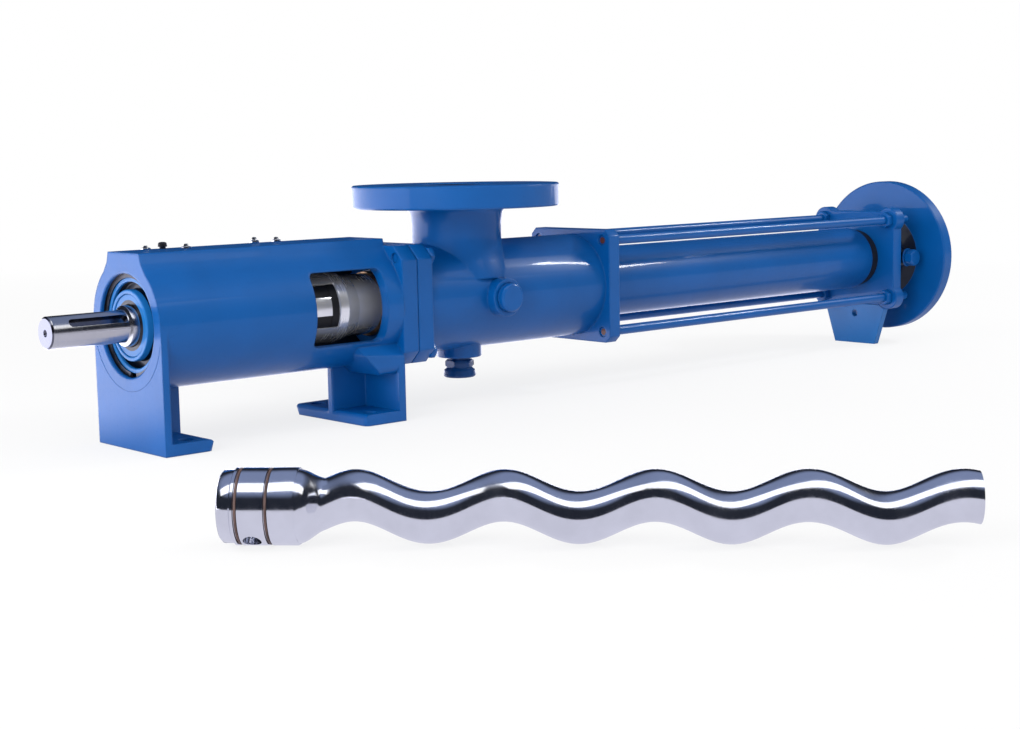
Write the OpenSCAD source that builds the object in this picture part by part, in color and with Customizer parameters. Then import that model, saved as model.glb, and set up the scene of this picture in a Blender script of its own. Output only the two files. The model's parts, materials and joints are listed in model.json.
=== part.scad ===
// Progressing-cavity screw pump with a bearing pedestal, jaw coupling, suction
// housing, stator held by tie rods, and a loose spare rotor on the floor beside it.
// X runs along the pump axis from drive end to discharge, Z is up, the floor is z = 0,
// and the origin is the middle of the four foot bolt holes.

/* [Pump axis] */
// Height of the pump axis above the floor
axis_h = 115; // [113:1:125]
// Width across the cylindrical bodies of the drive casing
body_d = 122; // [118:1:126]

/* [Drive shaft] */
// Diameter of the free shaft end
shaft_d = 30; // [26:1:34]
// Length of shaft in front of the casing
shaft_out = 80; // [60:1:100]
// Diameter of the shaft collar that the front seal runs on
collar_d = 38; // [36:1:39]
// Diameter of the bearing seats
seat_d = 40; // [40:1:42]
// Diameter of the shaft through the lantern and the packing
seal_shaft_d = 36; // [32:1:38]
// Width of the keyway
keyway_w = 8; // [6:1:10]
// Length of the keyway
keyway_len = 58; // [40:1:60]
// Depth of the keyway
keyway_deep = 4; // [3:0.5:5]
// Turn of the keyway about the shaft at rest, from straight up towards the near side
keyway_turn = 55; // [40:1:59]

/* [Drive casing] */
// Length of the casing from its front face to its rear flange
casing_len = 294; // [290:1:320]
// Thickness of the front plate
front_plate_t = 15; // [12:1:18]
// Half width of the flat crown along the top
crown_half = 28; // [24:1:30]
// Rise of the crown above the round body
crown_rise = 6; // [4:1:10]
// Half width at the shoulder under the crown
shoulder_half = 31; // [30:1:34]
// Drop from the crown to the shoulder
shoulder_drop = 10; // [8:1:12]
// Diameter of the recess in the front face
recess_d = 96; // [96:1:100]
// Depth of the recess in the front face
recess_depth = 18; // [16:1:20]
// Start of the wall between the bearings and the lantern
lantern_wall_x = 150; // [150:1:155]
// Thickness of that wall
lantern_wall_t = 9; // [8:1:10]
// Diameter of the lantern's round cavity
lantern_d = 100; // [98:1:104]
// Start of the side windows
window_x = 167; // [165:1:172]
// Length of the side windows
window_len = 86; // [80:1:90]
// Depth of the window sill below the pump axis
window_low = 33; // [28:1:36]
// Height of the window top above the pump axis
window_high = 41; // [38:1:44]
// Radius of the window's corners
window_r = 6; // [3:1:10]
// Thickness of the casing's rear flange
casing_flange_t = 19; // [16:1:24]

/* [Feet] */
// Distance of the front foot bolts behind the front face
foot_front = 30; // [28:1:34]
// Distance between the front and rear foot bolts
foot_span = 212; // [206:1:220]
// Distance across the foot bolts
foot_bolt_w = 90; // [84:1:92]
// Diameter of the foot bolt holes
foot_bolt_d = 14; // [11:1:15]
// Thickness of the foot flanges
foot_t = 11; // [8:1:14]
// Length of each foot flange
foot_len = 50; // [46:1:56]
// Thickness of the upright webs of the feet
web_t = 8; // [6:1:10]
// Height of the saddle block's underside over the rear foot
saddle_z = 48; // [44:1:50]
// Height of the saddle block's shoulder
saddle_top_z = 65; // [62:1:70]

/* [Bearings] */
// Outer diameter of the ball bearings
bearing_d = 90; // [88:1:92]
// Width of the ball bearings
bearing_w = 23; // [21:1:25]
// Diameter of the bearing balls
ball_d = 15; // [13:1:15]
// Number of balls in each bearing
ball_count = 8; // [6:1:9]
// Distance between the two bearings
bearing_gap = 68; // [60:1:70]
// Width of the lock nut behind the rear bearing
lock_nut_w = 10; // [8:1:12]
// Distance of the cover's retaining ring behind the front face
circlip_x = 5; // [4:0.5:6]
// Thickness of the retaining ring
circlip_t = 2; // [1.5:0.5:2.5]
// Depth of the retaining ring's groove
circlip_deep = 2; // [1:0.5:3]
// Outer diameter of the oil seals
oil_seal_d = 58; // [54:1:60]

/* [Crown fittings] */
// Diameter of the threads of the fittings on the crown
fitting_d = 6; // [5:0.5:7]
// Depth of the threads in the crown
fitting_deep = 4; // [3:0.5:5]

/* [Jaw coupling] */
// Diameter over the jaws
jaw_d = 72; // [68:1:74]
// Inner diameter of the jaws
jaw_bore_d = 54; // [50:1:56]
// Gap between the lantern wall and the drive half
jaw_gap = 1.5; // [1:0.5:3]
// Thickness of the drive half's disc
drive_disc_t = 8; // [6:1:8]
// Length of the drive half's jaws
drive_jaw_len = 20; // [14:1:24]
// Half angle of the drive half's jaws
drive_jaw_half = 17; // [12:1:22]
// Length of the driven half's jaws
driven_jaw_len = 38; // [30:1:38]
// Half angle of the driven half's jaws
driven_jaw_half = 27; // [20:1:35]
// Length of the rim and cone behind the driven jaws
rim_len = 19; // [14:1:24]
// Diameter of the polished sleeve
sleeve_d = 62; // [56:1:64]

/* [Stuffing box] */
// Length of the stuffing box nose in the lantern
box_nose_len = 7; // [5:1:24]
// Length of the gland ring that shows behind the sleeve
gland_len = 7; // [5:1:9]
// Diameter of the gland ring
gland_d = 66; // [60:1:68]
// Bore of the stuffing box
box_bore_d = 52; // [50:1:54]
// Outer diameter of the stuffing box nose
box_nose_d = 70; // [66:1:74]
// Thickness of the stuffing box flange
box_flange_t = 8; // [6:1:10]
// Diameter of the stuffing box spigot in the suction housing
spigot_d = 80; // [76:1:84]
// Number of packing rings
packing_count = 3; // [2:1:5]

/* [Suction housing] */
// Thickness of the gasket between the two flanges
gasket_t = 1; // [0.5:0.5:2]
// Half width of the square flanges
flange_half = 60; // [60:1:64]
// Corner chamfer of the square flanges
corner_cut = 14; // [10:1:16]
// Length of the suction housing
suction_len = 285; // [280:1:300]
// Thickness of the housing's front flange
suction_flange_t = 19; // [17:1:22]
// Outer diameter of the housing's round body
suction_d = 114; // [112:1:118]
// Bore of the housing
suction_bore_d = 96; // [92:1:100]
// Distance of the flange screws from the pump axis, across and up
screw_pitch = 48; // [47:1:49]
// Diameter of the flange screws
screw_d = 10; // [8:1:10]
// Thickness of the rear square flange
rear_flange_t = 16; // [14:1:20]
// Half width of the rear square flange
rear_flange_half = 63; // [62:1:66]
// Bore at the housing's rear end, around the rotor
throat_d = 70; // [70:1:74]
// Depth of the tie rod ends in the rear flange
rod_recess = 1.5; // [1:0.5:3]

/* [Suction port] */
// Distance of the suction port behind the housing's front face
port_x = 102; // [96:1:120]
// Height of the port's face above the pump axis
port_h = 118; // [112:1:130]
// Diameter of the suction flange
port_flange_d = 220; // [210:1:230]
// Thickness of the suction flange
port_flange_t = 24; // [20:1:26]
// Bolt circle of the suction flange
port_pcd = 180; // [176:1:184]
// Number of bolt holes in each round flange
port_holes = 8; // [4:4:8]
// Diameter of the bolt holes in the round flanges
port_hole_d = 18; // [14:1:20]
// Bore of the suction port
port_bore_d = 80; // [74:1:84]
// Diameter of the port's neck
neck_d = 96; // [92:1:102]

/* [Plugs] */
// Diameter of the side bosses
side_boss_d = 40; // [34:1:44]
// Reach of the side bosses from the pump axis
side_boss_reach = 68; // [64:1:70]
// Distance of the side bosses behind the port's centre
side_boss_back = 12; // [0:1:20]
// Diameter of the drain boss
drain_boss_d = 48; // [44:1:56]
// Reach of the drain boss below the pump axis
drain_reach = 66; // [62:1:70]
// Diameter of the inspection plugs
plug_d = 30; // [26:1:32]
// Diameter of the drain plug's thread
drain_d = 26; // [22:1:28]
// Length of the drain plug that shows
drain_len = 22; // [16:1:28]

/* [Stator] */
// Length between the suction housing and the end plate
stator_len = 517; // [500:1:540]
// Outer diameter of the stator tube
stator_d = 80; // [80:1:88]
// Wall of the stator tube
tube_wall = 3; // [2:0.5:3]
// Length of the rubber collar at the suction end
front_collar = 3; // [2:1:6]
// Length of the rubber collar at the discharge end
rear_collar = 13; // [8:1:16]
// Amount that the rubber collars stand inside the tube's outer diameter
collar_step = 3; // [1:1:5]
// Clearance of the rotor in the rubber
rotor_gap = 0.8; // [0.7:0.1:1]

/* [Tie rods] */
// Distance of the tie rods from the pump axis, across and up
rod_pitch = 51; // [50:0.5:53]
// Diameter of the tie rods
tie_rod_d = 11; // [10:0.5:12]
// Length of tie rod behind the end plate
rod_tail = 24; // [16:1:28]
// Width across the flats of the tie rod nuts
nut_af = 18; // [17:1:20]
// Thickness of the tie rod nuts
nut_t = 9; // [7:1:10]

/* [Discharge end] */
// Thickness of the end plate
end_plate_t = 17; // [12:1:20]
// Half width of the end plate between its lugs
end_plate_half = 62; // [58:1:64]
// Radius of the end plate's corner lugs
lug_r = 16; // [14:1:18]
// Bore of the discharge end
discharge_bore_d = 76; // [74:1:78]
// Outer diameter of the discharge neck
branch_neck_d = 89; // [86:1:94]
// Length of the discharge branch
branch_len = 63; // [58:1:80]
// Diameter of the discharge flange
branch_flange_d = 200; // [190:1:210]
// Thickness of the discharge flange
branch_flange_t = 20; // [16:1:24]
// Bolt circle of the discharge flange
branch_pcd = 160; // [150:1:165]
// Diameter of the stud holes in the discharge face
stud_hole_d = 16; // [14:1:18]
// Depth of the stud holes
stud_hole_deep = 14; // [10:1:15]
// Diameter of the raised face
raised_d = 138; // [120:1:138]
// Height of the raised face
raised_h = 2; // [1:1:3]
// Distance of the plug's boss behind the end plate
branch_boss_x = 20; // [14:1:22]
// Reach of the plug's boss from the pump axis
branch_boss_reach = 59; // [52:1:62]
// Thickness of the support under the end plate
support_t = 9; // [7:1:12]
// Half width of the support at its top
support_top_half = 47; // [40:1:50]
// Half width of the support at the floor
support_foot_half = 32; // [24:1:36]
// Diameter of the hole in the support
support_hole_d = 9; // [6:1:12]

/* [Rotor] */
// Diameter of the rotor's round section
rotor_d = 36; // [34:0.5:36]
// Eccentricity of the rotor
rotor_e = 7.6; // [7:0.1:7.6]
// Pitch of the rotor
rotor_pitch = 103; // [90:1:110]
// Diameter of the rotor head
head_d = 54; // [52:1:56]
// Length of the rotor head
head_len = 54; // [48:1:58]
// Width of the grooves round the rotor head
groove_w = 3; // [2:0.5:4]
// Depth of the grooves
groove_deep = 1.5; // [1:0.5:2]
// Distance of the first groove from the head's end
first_groove = 12; // [10:1:14]
// Distance of the second groove from the head's end
second_groove = 33; // [28:1:36]
// Length of the cone behind the rotor head
cone_len = 16; // [12:1:18]
// Length of the spare rotor's screw
spare_screw_len = 444; // [300:1:460]
// Distance of the working rotor's head behind the port's centre
rotor_back = 103; // [100:1:106]
// Length of rotor that stands out of the stator
rotor_nose = 9; // [5:1:15]

/* [Universal joint] */
// Diameter of the balls on the coupling rod
joint_ball_d = 30; // [28:1:30]
// Diameter of the coupling rod
rod_d = 18; // [16:1:18]
// Depth of each ball's centre inside its head
ball_depth = 12; // [12:1:14]
// Outer diameter of the drive joint head
drive_head_d = 54; // [50:1:56]
// Length of the drive joint head
drive_head_len = 46; // [42:1:48]
// Diameter of the seal shaft's stub in the drive joint head
stub_d = 26; // [22:1:28]
// Floor between that stub and the ball
cup_floor = 3; // [2:0.5:4]
// Diameter of the joints' retaining rings
ring_seat_d = 38; // [36:1:40]
// Bore of the joints' retaining rings
ring_bore_d = 27; // [26:1:27]
// Length of each rubber boot
boot_len = 36; // [30:1:40]
// Wall of the rubber boots
boot_wall = 2.5; // [2:0.5:3]
// Length of each boot's collar on its head
boot_grip = 8; // [6:1:10]
// Depth of the boots' folds
fold_deep = 3; // [2:0.5:4]

/* [Spare rotor's place] */
// Place of the spare rotor's head end along the pump
spare_x = -281; // [-330:1:-260]
// Place of the spare rotor's head end beside the pump
spare_y = -386; // [-440:1:-360]
// Turn of the spare rotor in plan
spare_turn = -46.5; // [-60:0.5:-30]
// Roll of the spare rotor about its own axis
spare_roll = 0; // [0:5:360]

/* [Hidden] */

$fn = 64;
// Clearance of pieces seated in or on each other
seat_gap = 0.02;
// Clearance of turning pieces that don't touch
run_gap = 0.3;
// Overrun of a cut past the face it goes through
cut = 1;
// Play between the tips of the driven jaws and the drive half's disc
jaw_play = 0.2;
// Heights of the crown and its shoulder above the pump axis
crown_h = body_d / 2 + crown_rise;
shoulder_h = crown_h - shoulder_drop;

// Station, place across the pump and height of each fitting on the crown
top_fittings = [[34, 18, 5], [64, -4, 5], [155, 20, 6], [180, 19, 5]];
breather_place = [72, 20, 10];

// Stations along the axis, counted from the casing's front face
x_face = -(foot_front + foot_span / 2);
x_front_bearing = recess_depth;
x_rear_bearing = x_front_bearing + bearing_w + bearing_gap;
x_lock_nut = x_rear_bearing + bearing_w;
x_casing_flange = casing_len - casing_flange_t;
x_rear_foot = foot_front + foot_span - foot_len / 3;
x_drive_jaw = lantern_wall_x + lantern_wall_t + jaw_gap;
x_gland = casing_len - box_flange_t - box_nose_len - gland_len;
x_driven_rim = x_drive_jaw + drive_disc_t + jaw_play + driven_jaw_len;
x_suction = casing_len + gasket_t;
x_port = x_suction + port_x;
x_suction_end = x_suction + suction_len;
x_end_plate = x_suction_end + stator_len;
tube_start = x_suction_end + front_collar;
tube_end = x_end_plate - rear_collar;
x_branch = x_end_plate + end_plate_t;
x_discharge = x_branch + branch_len;
x_rotor = x_port + rotor_back;
x_screw = x_rotor + head_len + cone_len;
screw_len = x_end_plate + rotor_nose - x_screw;
x_drive_head = x_suction + suction_flange_t + 2;
x_drive_ball = x_drive_head + drive_head_len - ball_depth;
x_rotor_ball = x_rotor + ball_depth;

// The rotor's own axis lies below the pump axis at rest
orbit_angle = -90;
rod_tilt = asin(rotor_e / (x_rotor_ball - x_drive_ball));
rod_len = (x_rotor_ball - x_drive_ball) / cos(rod_tilt);
ball_r = joint_ball_d / 2;
stub_len = drive_head_len - ball_depth - ball_r - cup_floor;
ring_back = sqrt(pow(ball_r, 2) - pow(ring_bore_d / 2, 2)) + run_gap + 0.1;
pitch_r = (bearing_d + seat_d) / 4;
oil_seal_r = oil_seal_d / 2;
ring_seat_r = ring_seat_d / 2;
cover_x = circlip_x + circlip_t;
race_r = ball_d / 2 + run_gap;

// Local z runs along the pump axis, from a station of the casing
module on_axis(x) {
    translate([x_face + x, 0, axis_h])
        rotate([0, 90, 0])
            children();
}

// An outline across the pump, with its x across and its y up from the axis
module slab(x, t) {
    translate([x_face + x, 0, axis_h])
        rotate([90, 0, 90])
            linear_extrude(t)
                children();
}

// A turned piece from points of radius and station
module turned(points) {
    on_axis(0)
        rotate_extrude()
            polygon(points);
}

module ring(x, len, r_out, r_in) {
    turned([[r_in, x], [r_out, x], [r_out, x + len], [r_in, x + len]]);
}

module rod_x(x, len, r) {
    on_axis(x)
        cylinder(h = len, r = r);
}

// Copies at the four corners of a square about the pump axis
module four_corners(pitch) {
    for (y = [-pitch, pitch], z = [-pitch, pitch])
        translate([0, y, z])
            children();
}

module bolt_circle(pcd, count) {
    for (i = [0 : count - 1])
        rotate([0, 0, (i + 0.5) * 360 / count])
            translate([pcd / 2, 0, 0])
                children();
}

module chamfered_square(half, chamfer) {
    polygon([
        [-half + chamfer, -half], [half - chamfer, -half],
        [half, -half + chamfer], [half, half - chamfer],
        [half - chamfer, half], [-half + chamfer, half],
        [-half, half - chamfer], [-half, -half + chamfer]
    ]);
}

function tangent_point(p, r) =
    let (a = atan2(p[1], p[0]) - acos(r / norm(p)))
    [r * cos(a), r * sin(a)];

// Round body with a flat crown on top
module casing_section() {
    side = tangent_point([shoulder_half, shoulder_h], body_d / 2);
    circle(d = body_d);
    polygon([
        [-crown_half, crown_h], [crown_half, crown_h],
        [shoulder_half, shoulder_h], side,
        [-side[0], side[1]], [-shoulder_half, shoulder_h]
    ]);
}

module foot_holes(x) {
    for (y = [-foot_bolt_w / 2, foot_bolt_w / 2])
        translate([x_face + x, y, -cut])
            cylinder(h = foot_t + 2 * cut, d = foot_bolt_d);
}

module front_foot() {
    slab(0, front_plate_t)
        translate([-body_d / 2, -axis_h])
            square([body_d, axis_h]);
    slab(0, foot_len)
        translate([-body_d / 2, -axis_h])
            square([body_d, foot_t]);
    slab(0, foot_len)
        translate([-web_t / 2, -axis_h])
            square([web_t, axis_h]);
}

module rear_foot() {
    slab(x_rear_foot, foot_len)
        translate([-flange_half, -axis_h])
            square([2 * flange_half, foot_t]);
    slab(x_rear_foot, foot_len)
        translate([-web_t / 2, -axis_h])
            square([web_t, axis_h]);
    slab(x_rear_foot + foot_len - web_t, web_t)
        translate([-flange_half, -axis_h])
            square([2 * flange_half, saddle_top_z]);
    slab(x_rear_foot, foot_len)
        polygon([
            [-flange_half, saddle_z - axis_h], [flange_half, saddle_z - axis_h],
            [flange_half, saddle_top_z - axis_h], [flange_half * 0.8, -window_low - 4],
            [-flange_half * 0.8, -window_low - 4], [-flange_half, saddle_top_z - axis_h]
        ]);
}

// Rounded opening through both sides of the lantern
module window_cut() {
    height = window_low + window_high;
    translate([x_face + window_x, body_d, axis_h - window_low])
        rotate([90, 0, 0])
            linear_extrude(2 * body_d) {
                translate([window_r, 0])
                    square([window_len - 2 * window_r, height]);
                translate([0, window_r])
                    square([window_len, height - 2 * window_r]);
                for (x = [window_r, window_len - window_r], y = [window_r, height - window_r])
                    translate([x, y])
                        circle(r = window_r);
            }
}

module drive_casing() {
    color("royalblue")
        difference() {
            union() {
                slab(0, casing_len - casing_flange_t)
                    casing_section();
                slab(x_casing_flange, casing_flange_t)
                    chamfered_square(flange_half, corner_cut);
                front_foot();
                rear_foot();
            }
            turned([
                [0, -cut], [recess_d / 2, -cut],
                [recess_d / 2, circlip_x], [recess_d / 2 + circlip_deep, circlip_x],
                [recess_d / 2 + circlip_deep, circlip_x + circlip_t],
                [recess_d / 2, circlip_x + circlip_t], [recess_d / 2, recess_depth],
                [bearing_d / 2, recess_depth], [bearing_d / 2, lantern_wall_x],
                [oil_seal_r, lantern_wall_x], [oil_seal_r, lantern_wall_x + lantern_wall_t + cut],
                [0, lantern_wall_x + lantern_wall_t + cut]
            ]);
            rod_x(lantern_wall_x + lantern_wall_t, casing_len, lantern_d / 2);
            window_cut();
            foot_holes(foot_front);
            foot_holes(foot_front + foot_span);
            slab(x_casing_flange - cut, casing_flange_t + 2 * cut)
                four_corners_flat(screw_pitch)
                    circle(d = screw_d + 2 * seat_gap);
            for (fitting = top_fittings)
                translate([x_face + fitting[0], fitting[1], axis_h + crown_h - fitting_deep])
                    cylinder(h = fitting_deep + cut, d = fitting_d + 2 * seat_gap);
        }
}

module four_corners_flat(pitch) {
    for (y = [-pitch, pitch], z = [-pitch, pitch])
        translate([y, z])
            children();
}

module crown_fitting(place, r) {
    translate([x_face + place[0], place[1], axis_h + crown_h]) {
        translate([0, 0, -fitting_deep])
            cylinder(h = fitting_deep, d = fitting_d);
        cylinder(h = place[2] / 2, r = r + 1.2, $fn = 6);
        cylinder(h = place[2] - r / 2, r = r * 0.7);
        translate([0, 0, place[2] - r / 2])
            sphere(r = r * 0.8);
    }
}

module grease_nipples() {
    color("silver")
        for (place = top_fittings)
            crown_fitting(place, fitting_d / 2);
}

// Vent cap that stands on the crown
module breather() {
    color("dimgray")
        translate([x_face + breather_place[0], breather_place[1], axis_h + crown_h]) {
            cylinder(h = breather_place[2] / 2, d = fitting_d);
            translate([0, 0, breather_place[2] / 2])
                cylinder(h = breather_place[2] / 2, d1 = fitting_d + 4, d2 = fitting_d + 2);
        }
}

// Stepped cover that holds the front bearing and the oil seal
module front_bearing_cover() {
    color("cornflowerblue")
        turned([
            [collar_d / 2 + 2, recess_depth - 5], [oil_seal_r, recess_depth - 5],
            [oil_seal_r, cover_x - 4], [oil_seal_r + 4, cover_x - 4],
            [oil_seal_r + 4, cover_x + 4], [oil_seal_r + 11, cover_x + 4],
            [oil_seal_r + 11, cover_x], [recess_d / 2 - seat_gap, cover_x],
            [recess_d / 2 - seat_gap, recess_depth - seat_gap],
            [collar_d / 2 + 2, recess_depth - seat_gap]
        ]);
}

module cover_circlip() {
    color("dimgray")
        difference() {
            ring(circlip_x + seat_gap, circlip_t - 2 * seat_gap,
                recess_d / 2 + circlip_deep - seat_gap, recess_d / 2 - 4);
            translate([x_face + circlip_x - cut, -5, axis_h - recess_d])
                cube([circlip_t + 2 * cut, 10, recess_d]);
        }
}

module oil_seal(x, len, r_in) {
    color("black")
        turned([
            [r_in + run_gap, x], [oil_seal_r - seat_gap, x],
            [oil_seal_r - seat_gap, x + len], [oil_seal_r - 3, x + len],
            [oil_seal_r - 3, x + 3], [r_in + 3, x + 3],
            [r_in + 3, x + len - 1], [r_in + run_gap, x + len - 1]
        ]);
}

module front_oil_seal() {
    oil_seal(cover_x - 3, recess_depth - 5 - cover_x + 3 - seat_gap, collar_d / 2);
}

module rear_oil_seal() {
    oil_seal(lantern_wall_x + seat_gap, lantern_wall_t - 1, seal_shaft_d / 2);
}

// Ring of a ball bearing with its raceway
module bearing_ring(x, r_out, r_in) {
    difference() {
        ring(x + seat_gap, bearing_w - 2 * seat_gap, r_out, r_in);
        on_axis(x + bearing_w / 2)
            rotate_extrude()
                translate([pitch_r, 0])
                    circle(r = race_r);
    }
}

module bearing_outer(x) {
    color("lightsteelblue")
        bearing_ring(x, bearing_d / 2 - seat_gap, pitch_r + ball_d / 3);
}

module bearing_inner(x) {
    color("lightsteelblue")
        bearing_ring(x, pitch_r - ball_d / 3, seat_d / 2 + seat_gap);
}

// Balls and the cage that carries them round
module bearing_balls(x) {
    color("silver")
        on_axis(x + bearing_w / 2) {
            for (i = [0 : ball_count - 1])
                rotate([0, 0, i * 360 / ball_count])
                    translate([pitch_r, 0, 0])
                        sphere(d = ball_d);
            difference() {
                translate([0, 0, -bearing_w * 0.36])
                    cylinder(h = bearing_w * 0.72, r = pitch_r + 2);
                translate([0, 0, -bearing_w])
                    cylinder(h = 2 * bearing_w, r = pitch_r - 2);
            }
        }
}

module front_bearing_outer() {
    bearing_outer(x_front_bearing);
}

module rear_bearing_outer() {
    bearing_outer(x_rear_bearing);
}

module front_bearing_inner() {
    bearing_inner(x_front_bearing);
}

module rear_bearing_inner() {
    bearing_inner(x_rear_bearing);
}

module front_bearing_balls() {
    bearing_balls(x_front_bearing);
}

module rear_bearing_balls() {
    bearing_balls(x_rear_bearing);
}

module spacer_sleeve() {
    color("gray")
        ring(x_front_bearing + bearing_w + seat_gap, bearing_gap - 2 * seat_gap,
            seat_d / 2 + 6, seat_d / 2 + seat_gap);
}

// Slotted nut that holds the inner rings on the shaft
module lock_nut() {
    color("dimgray")
        difference() {
            ring(x_lock_nut + seat_gap, lock_nut_w, seat_d / 2 + 9, seat_d / 2 + seat_gap);
            for (i = [0 : 3])
                on_axis(x_lock_nut)
                    rotate([0, 0, 90 * i])
                        translate([seat_d / 2 + 6, -3, -cut])
                            cube([10, 6, lock_nut_w + 2 * cut]);
        }
}

module drive_shaft() {
    color("silver")
        difference() {
            turned([
                [0, -shaft_out], [shaft_d / 2 - 2, -shaft_out], [shaft_d / 2, 2 - shaft_out],
                [shaft_d / 2, -5], [collar_d / 2, -3], [collar_d / 2, x_front_bearing],
                [seat_d / 2, x_front_bearing], [seat_d / 2, x_lock_nut + lock_nut_w],
                [seal_shaft_d / 2, x_lock_nut + lock_nut_w + 1],
                [seal_shaft_d / 2, x_drive_jaw + drive_disc_t - 1],
                [0, x_drive_jaw + drive_disc_t - 1]
            ]);
            rod_x(-shaft_out - cut, cut + 6, 3);
            keyway();
        }
}

// Round-ended keyway on the near upper side of the shaft end
module keyway() {
    on_axis(-keyway_len - 5)
        rotate([0, 0, keyway_turn])
            translate([-shaft_d / 2 - cut, 0, 0])
                rotate([0, 90, 0])
                    linear_extrude(keyway_deep + cut) {
                        translate([-keyway_len + keyway_w / 2, -keyway_w / 2])
                            square([keyway_len - keyway_w, keyway_w]);
                        for (x = [-keyway_w / 2, keyway_w / 2 - keyway_len])
                            translate([x, 0])
                                circle(d = keyway_w);
                    }
}

// Jaws on opposite sides, as sectors of a thick tube
module jaws(x, len, half_angle, turn) {
    reach = jaw_d;
    slab(x, len)
        difference() {
            intersection() {
                circle(d = jaw_d);
                for (side = [0, 180])
                    rotate(turn + side)
                        polygon([
                            [0, 0], [reach * cos(half_angle), -reach * sin(half_angle)],
                            [reach * cos(half_angle), reach * sin(half_angle)]
                        ]);
            }
            circle(d = jaw_bore_d);
        }
}

module drive_jaw() {
    color("silver") {
        ring(x_drive_jaw, drive_disc_t, jaw_d / 2, seal_shaft_d / 2 + seat_gap);
        jaws(x_drive_jaw + drive_disc_t, drive_jaw_len, drive_jaw_half, 0);
    }
}

// Driven half: jaws, rim, cone and the long polished sleeve
module driven_jaw() {
    bore = seal_shaft_d / 2 + seat_gap;
    color("silver") {
        turned([
            [bore, x_driven_rim], [jaw_d / 2 - 2, x_driven_rim], [jaw_d / 2, x_driven_rim + 2],
            [jaw_d / 2, x_driven_rim + rim_len / 2], [sleeve_d / 2, x_driven_rim + rim_len],
            [sleeve_d / 2, x_gland - run_gap], [bore, x_gland - run_gap]
        ]);
        jaws(x_driven_rim - driven_jaw_len, driven_jaw_len, driven_jaw_half, 90);
    }
}

module seal_shaft() {
    color("silver")
        turned([
            [0, x_driven_rim + 2], [seal_shaft_d / 2, x_driven_rim + 2],
            [seal_shaft_d / 2, x_drive_head], [stub_d / 2, x_drive_head],
            [stub_d / 2, x_drive_head + stub_len], [0, x_drive_head + stub_len]
        ]);
}

module gland() {
    color("darkgoldenrod")
        turned([
            [seal_shaft_d / 2 + run_gap, x_gland], [gland_d / 2, x_gland],
            [gland_d / 2, x_gland + gland_len - seat_gap],
            [box_bore_d / 2 - seat_gap, x_gland + gland_len - seat_gap],
            [box_bore_d / 2 - seat_gap, x_gland + gland_len + 5],
            [seal_shaft_d / 2 + run_gap, x_gland + gland_len + 5]
        ]);
}

module stuffing_box() {
    nose = x_gland + gland_len;
    tail = x_suction + suction_flange_t;
    color("royalblue")
        turned([
            [box_bore_d / 2, nose], [box_nose_d / 2, nose],
            [box_nose_d / 2, casing_len - box_flange_t],
            [lantern_d / 2 - seat_gap, casing_len - box_flange_t],
            [lantern_d / 2 - seat_gap, casing_len], [spigot_d / 2, casing_len],
            [spigot_d / 2, tail], [seal_shaft_d / 2 + run_gap, tail],
            [seal_shaft_d / 2 + run_gap, tail - 5], [box_bore_d / 2, tail - 5]
        ]);
}

module packing_rings() {
    start = x_gland + gland_len + 5;
    step = (x_suction + suction_flange_t - 5 - start) / packing_count;
    color("darkkhaki")
        for (i = [0 : packing_count - 1])
            ring(start + i * step + seat_gap, step - 2 * seat_gap - 0.2,
                box_bore_d / 2 - seat_gap, seal_shaft_d / 2 + run_gap);
}

module flange_gasket() {
    color("dimgray")
        slab(casing_len, gasket_t)
            difference() {
                chamfered_square(flange_half - 1, corner_cut);
                circle(r = spigot_d / 2 + seat_gap);
                four_corners_flat(screw_pitch)
                    circle(d = screw_d + 1);
            }
}

// Hexagon screws from the suction side into the casing flange
module flange_screws() {
    head_x = x_suction + suction_flange_t;
    color("royalblue")
        translate([x_face, 0, axis_h])
            four_corners(screw_pitch)
                rotate([0, 90, 0]) {
                    translate([0, 0, x_casing_flange + 2])
                        cylinder(h = head_x - x_casing_flange - 2, d = screw_d);
                    translate([0, 0, head_x])
                        cylinder(h = screw_d * 0.7, r = screw_d * 0.8, $fn = 6);
                }
}

module port_neck() {
    translate([x_face + x_port, 0, axis_h])
        rotate_extrude()
            polygon([
                [0, 0], [neck_d * 0.42, 0], [neck_d / 2, suction_d / 4],
                [neck_d / 2, port_h - port_flange_t - 16],
                [neck_d / 2 + 3, port_h - port_flange_t],
                [port_flange_d / 2, port_h - port_flange_t], [port_flange_d / 2, port_h],
                [0, port_h]
            ]);
}

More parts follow.
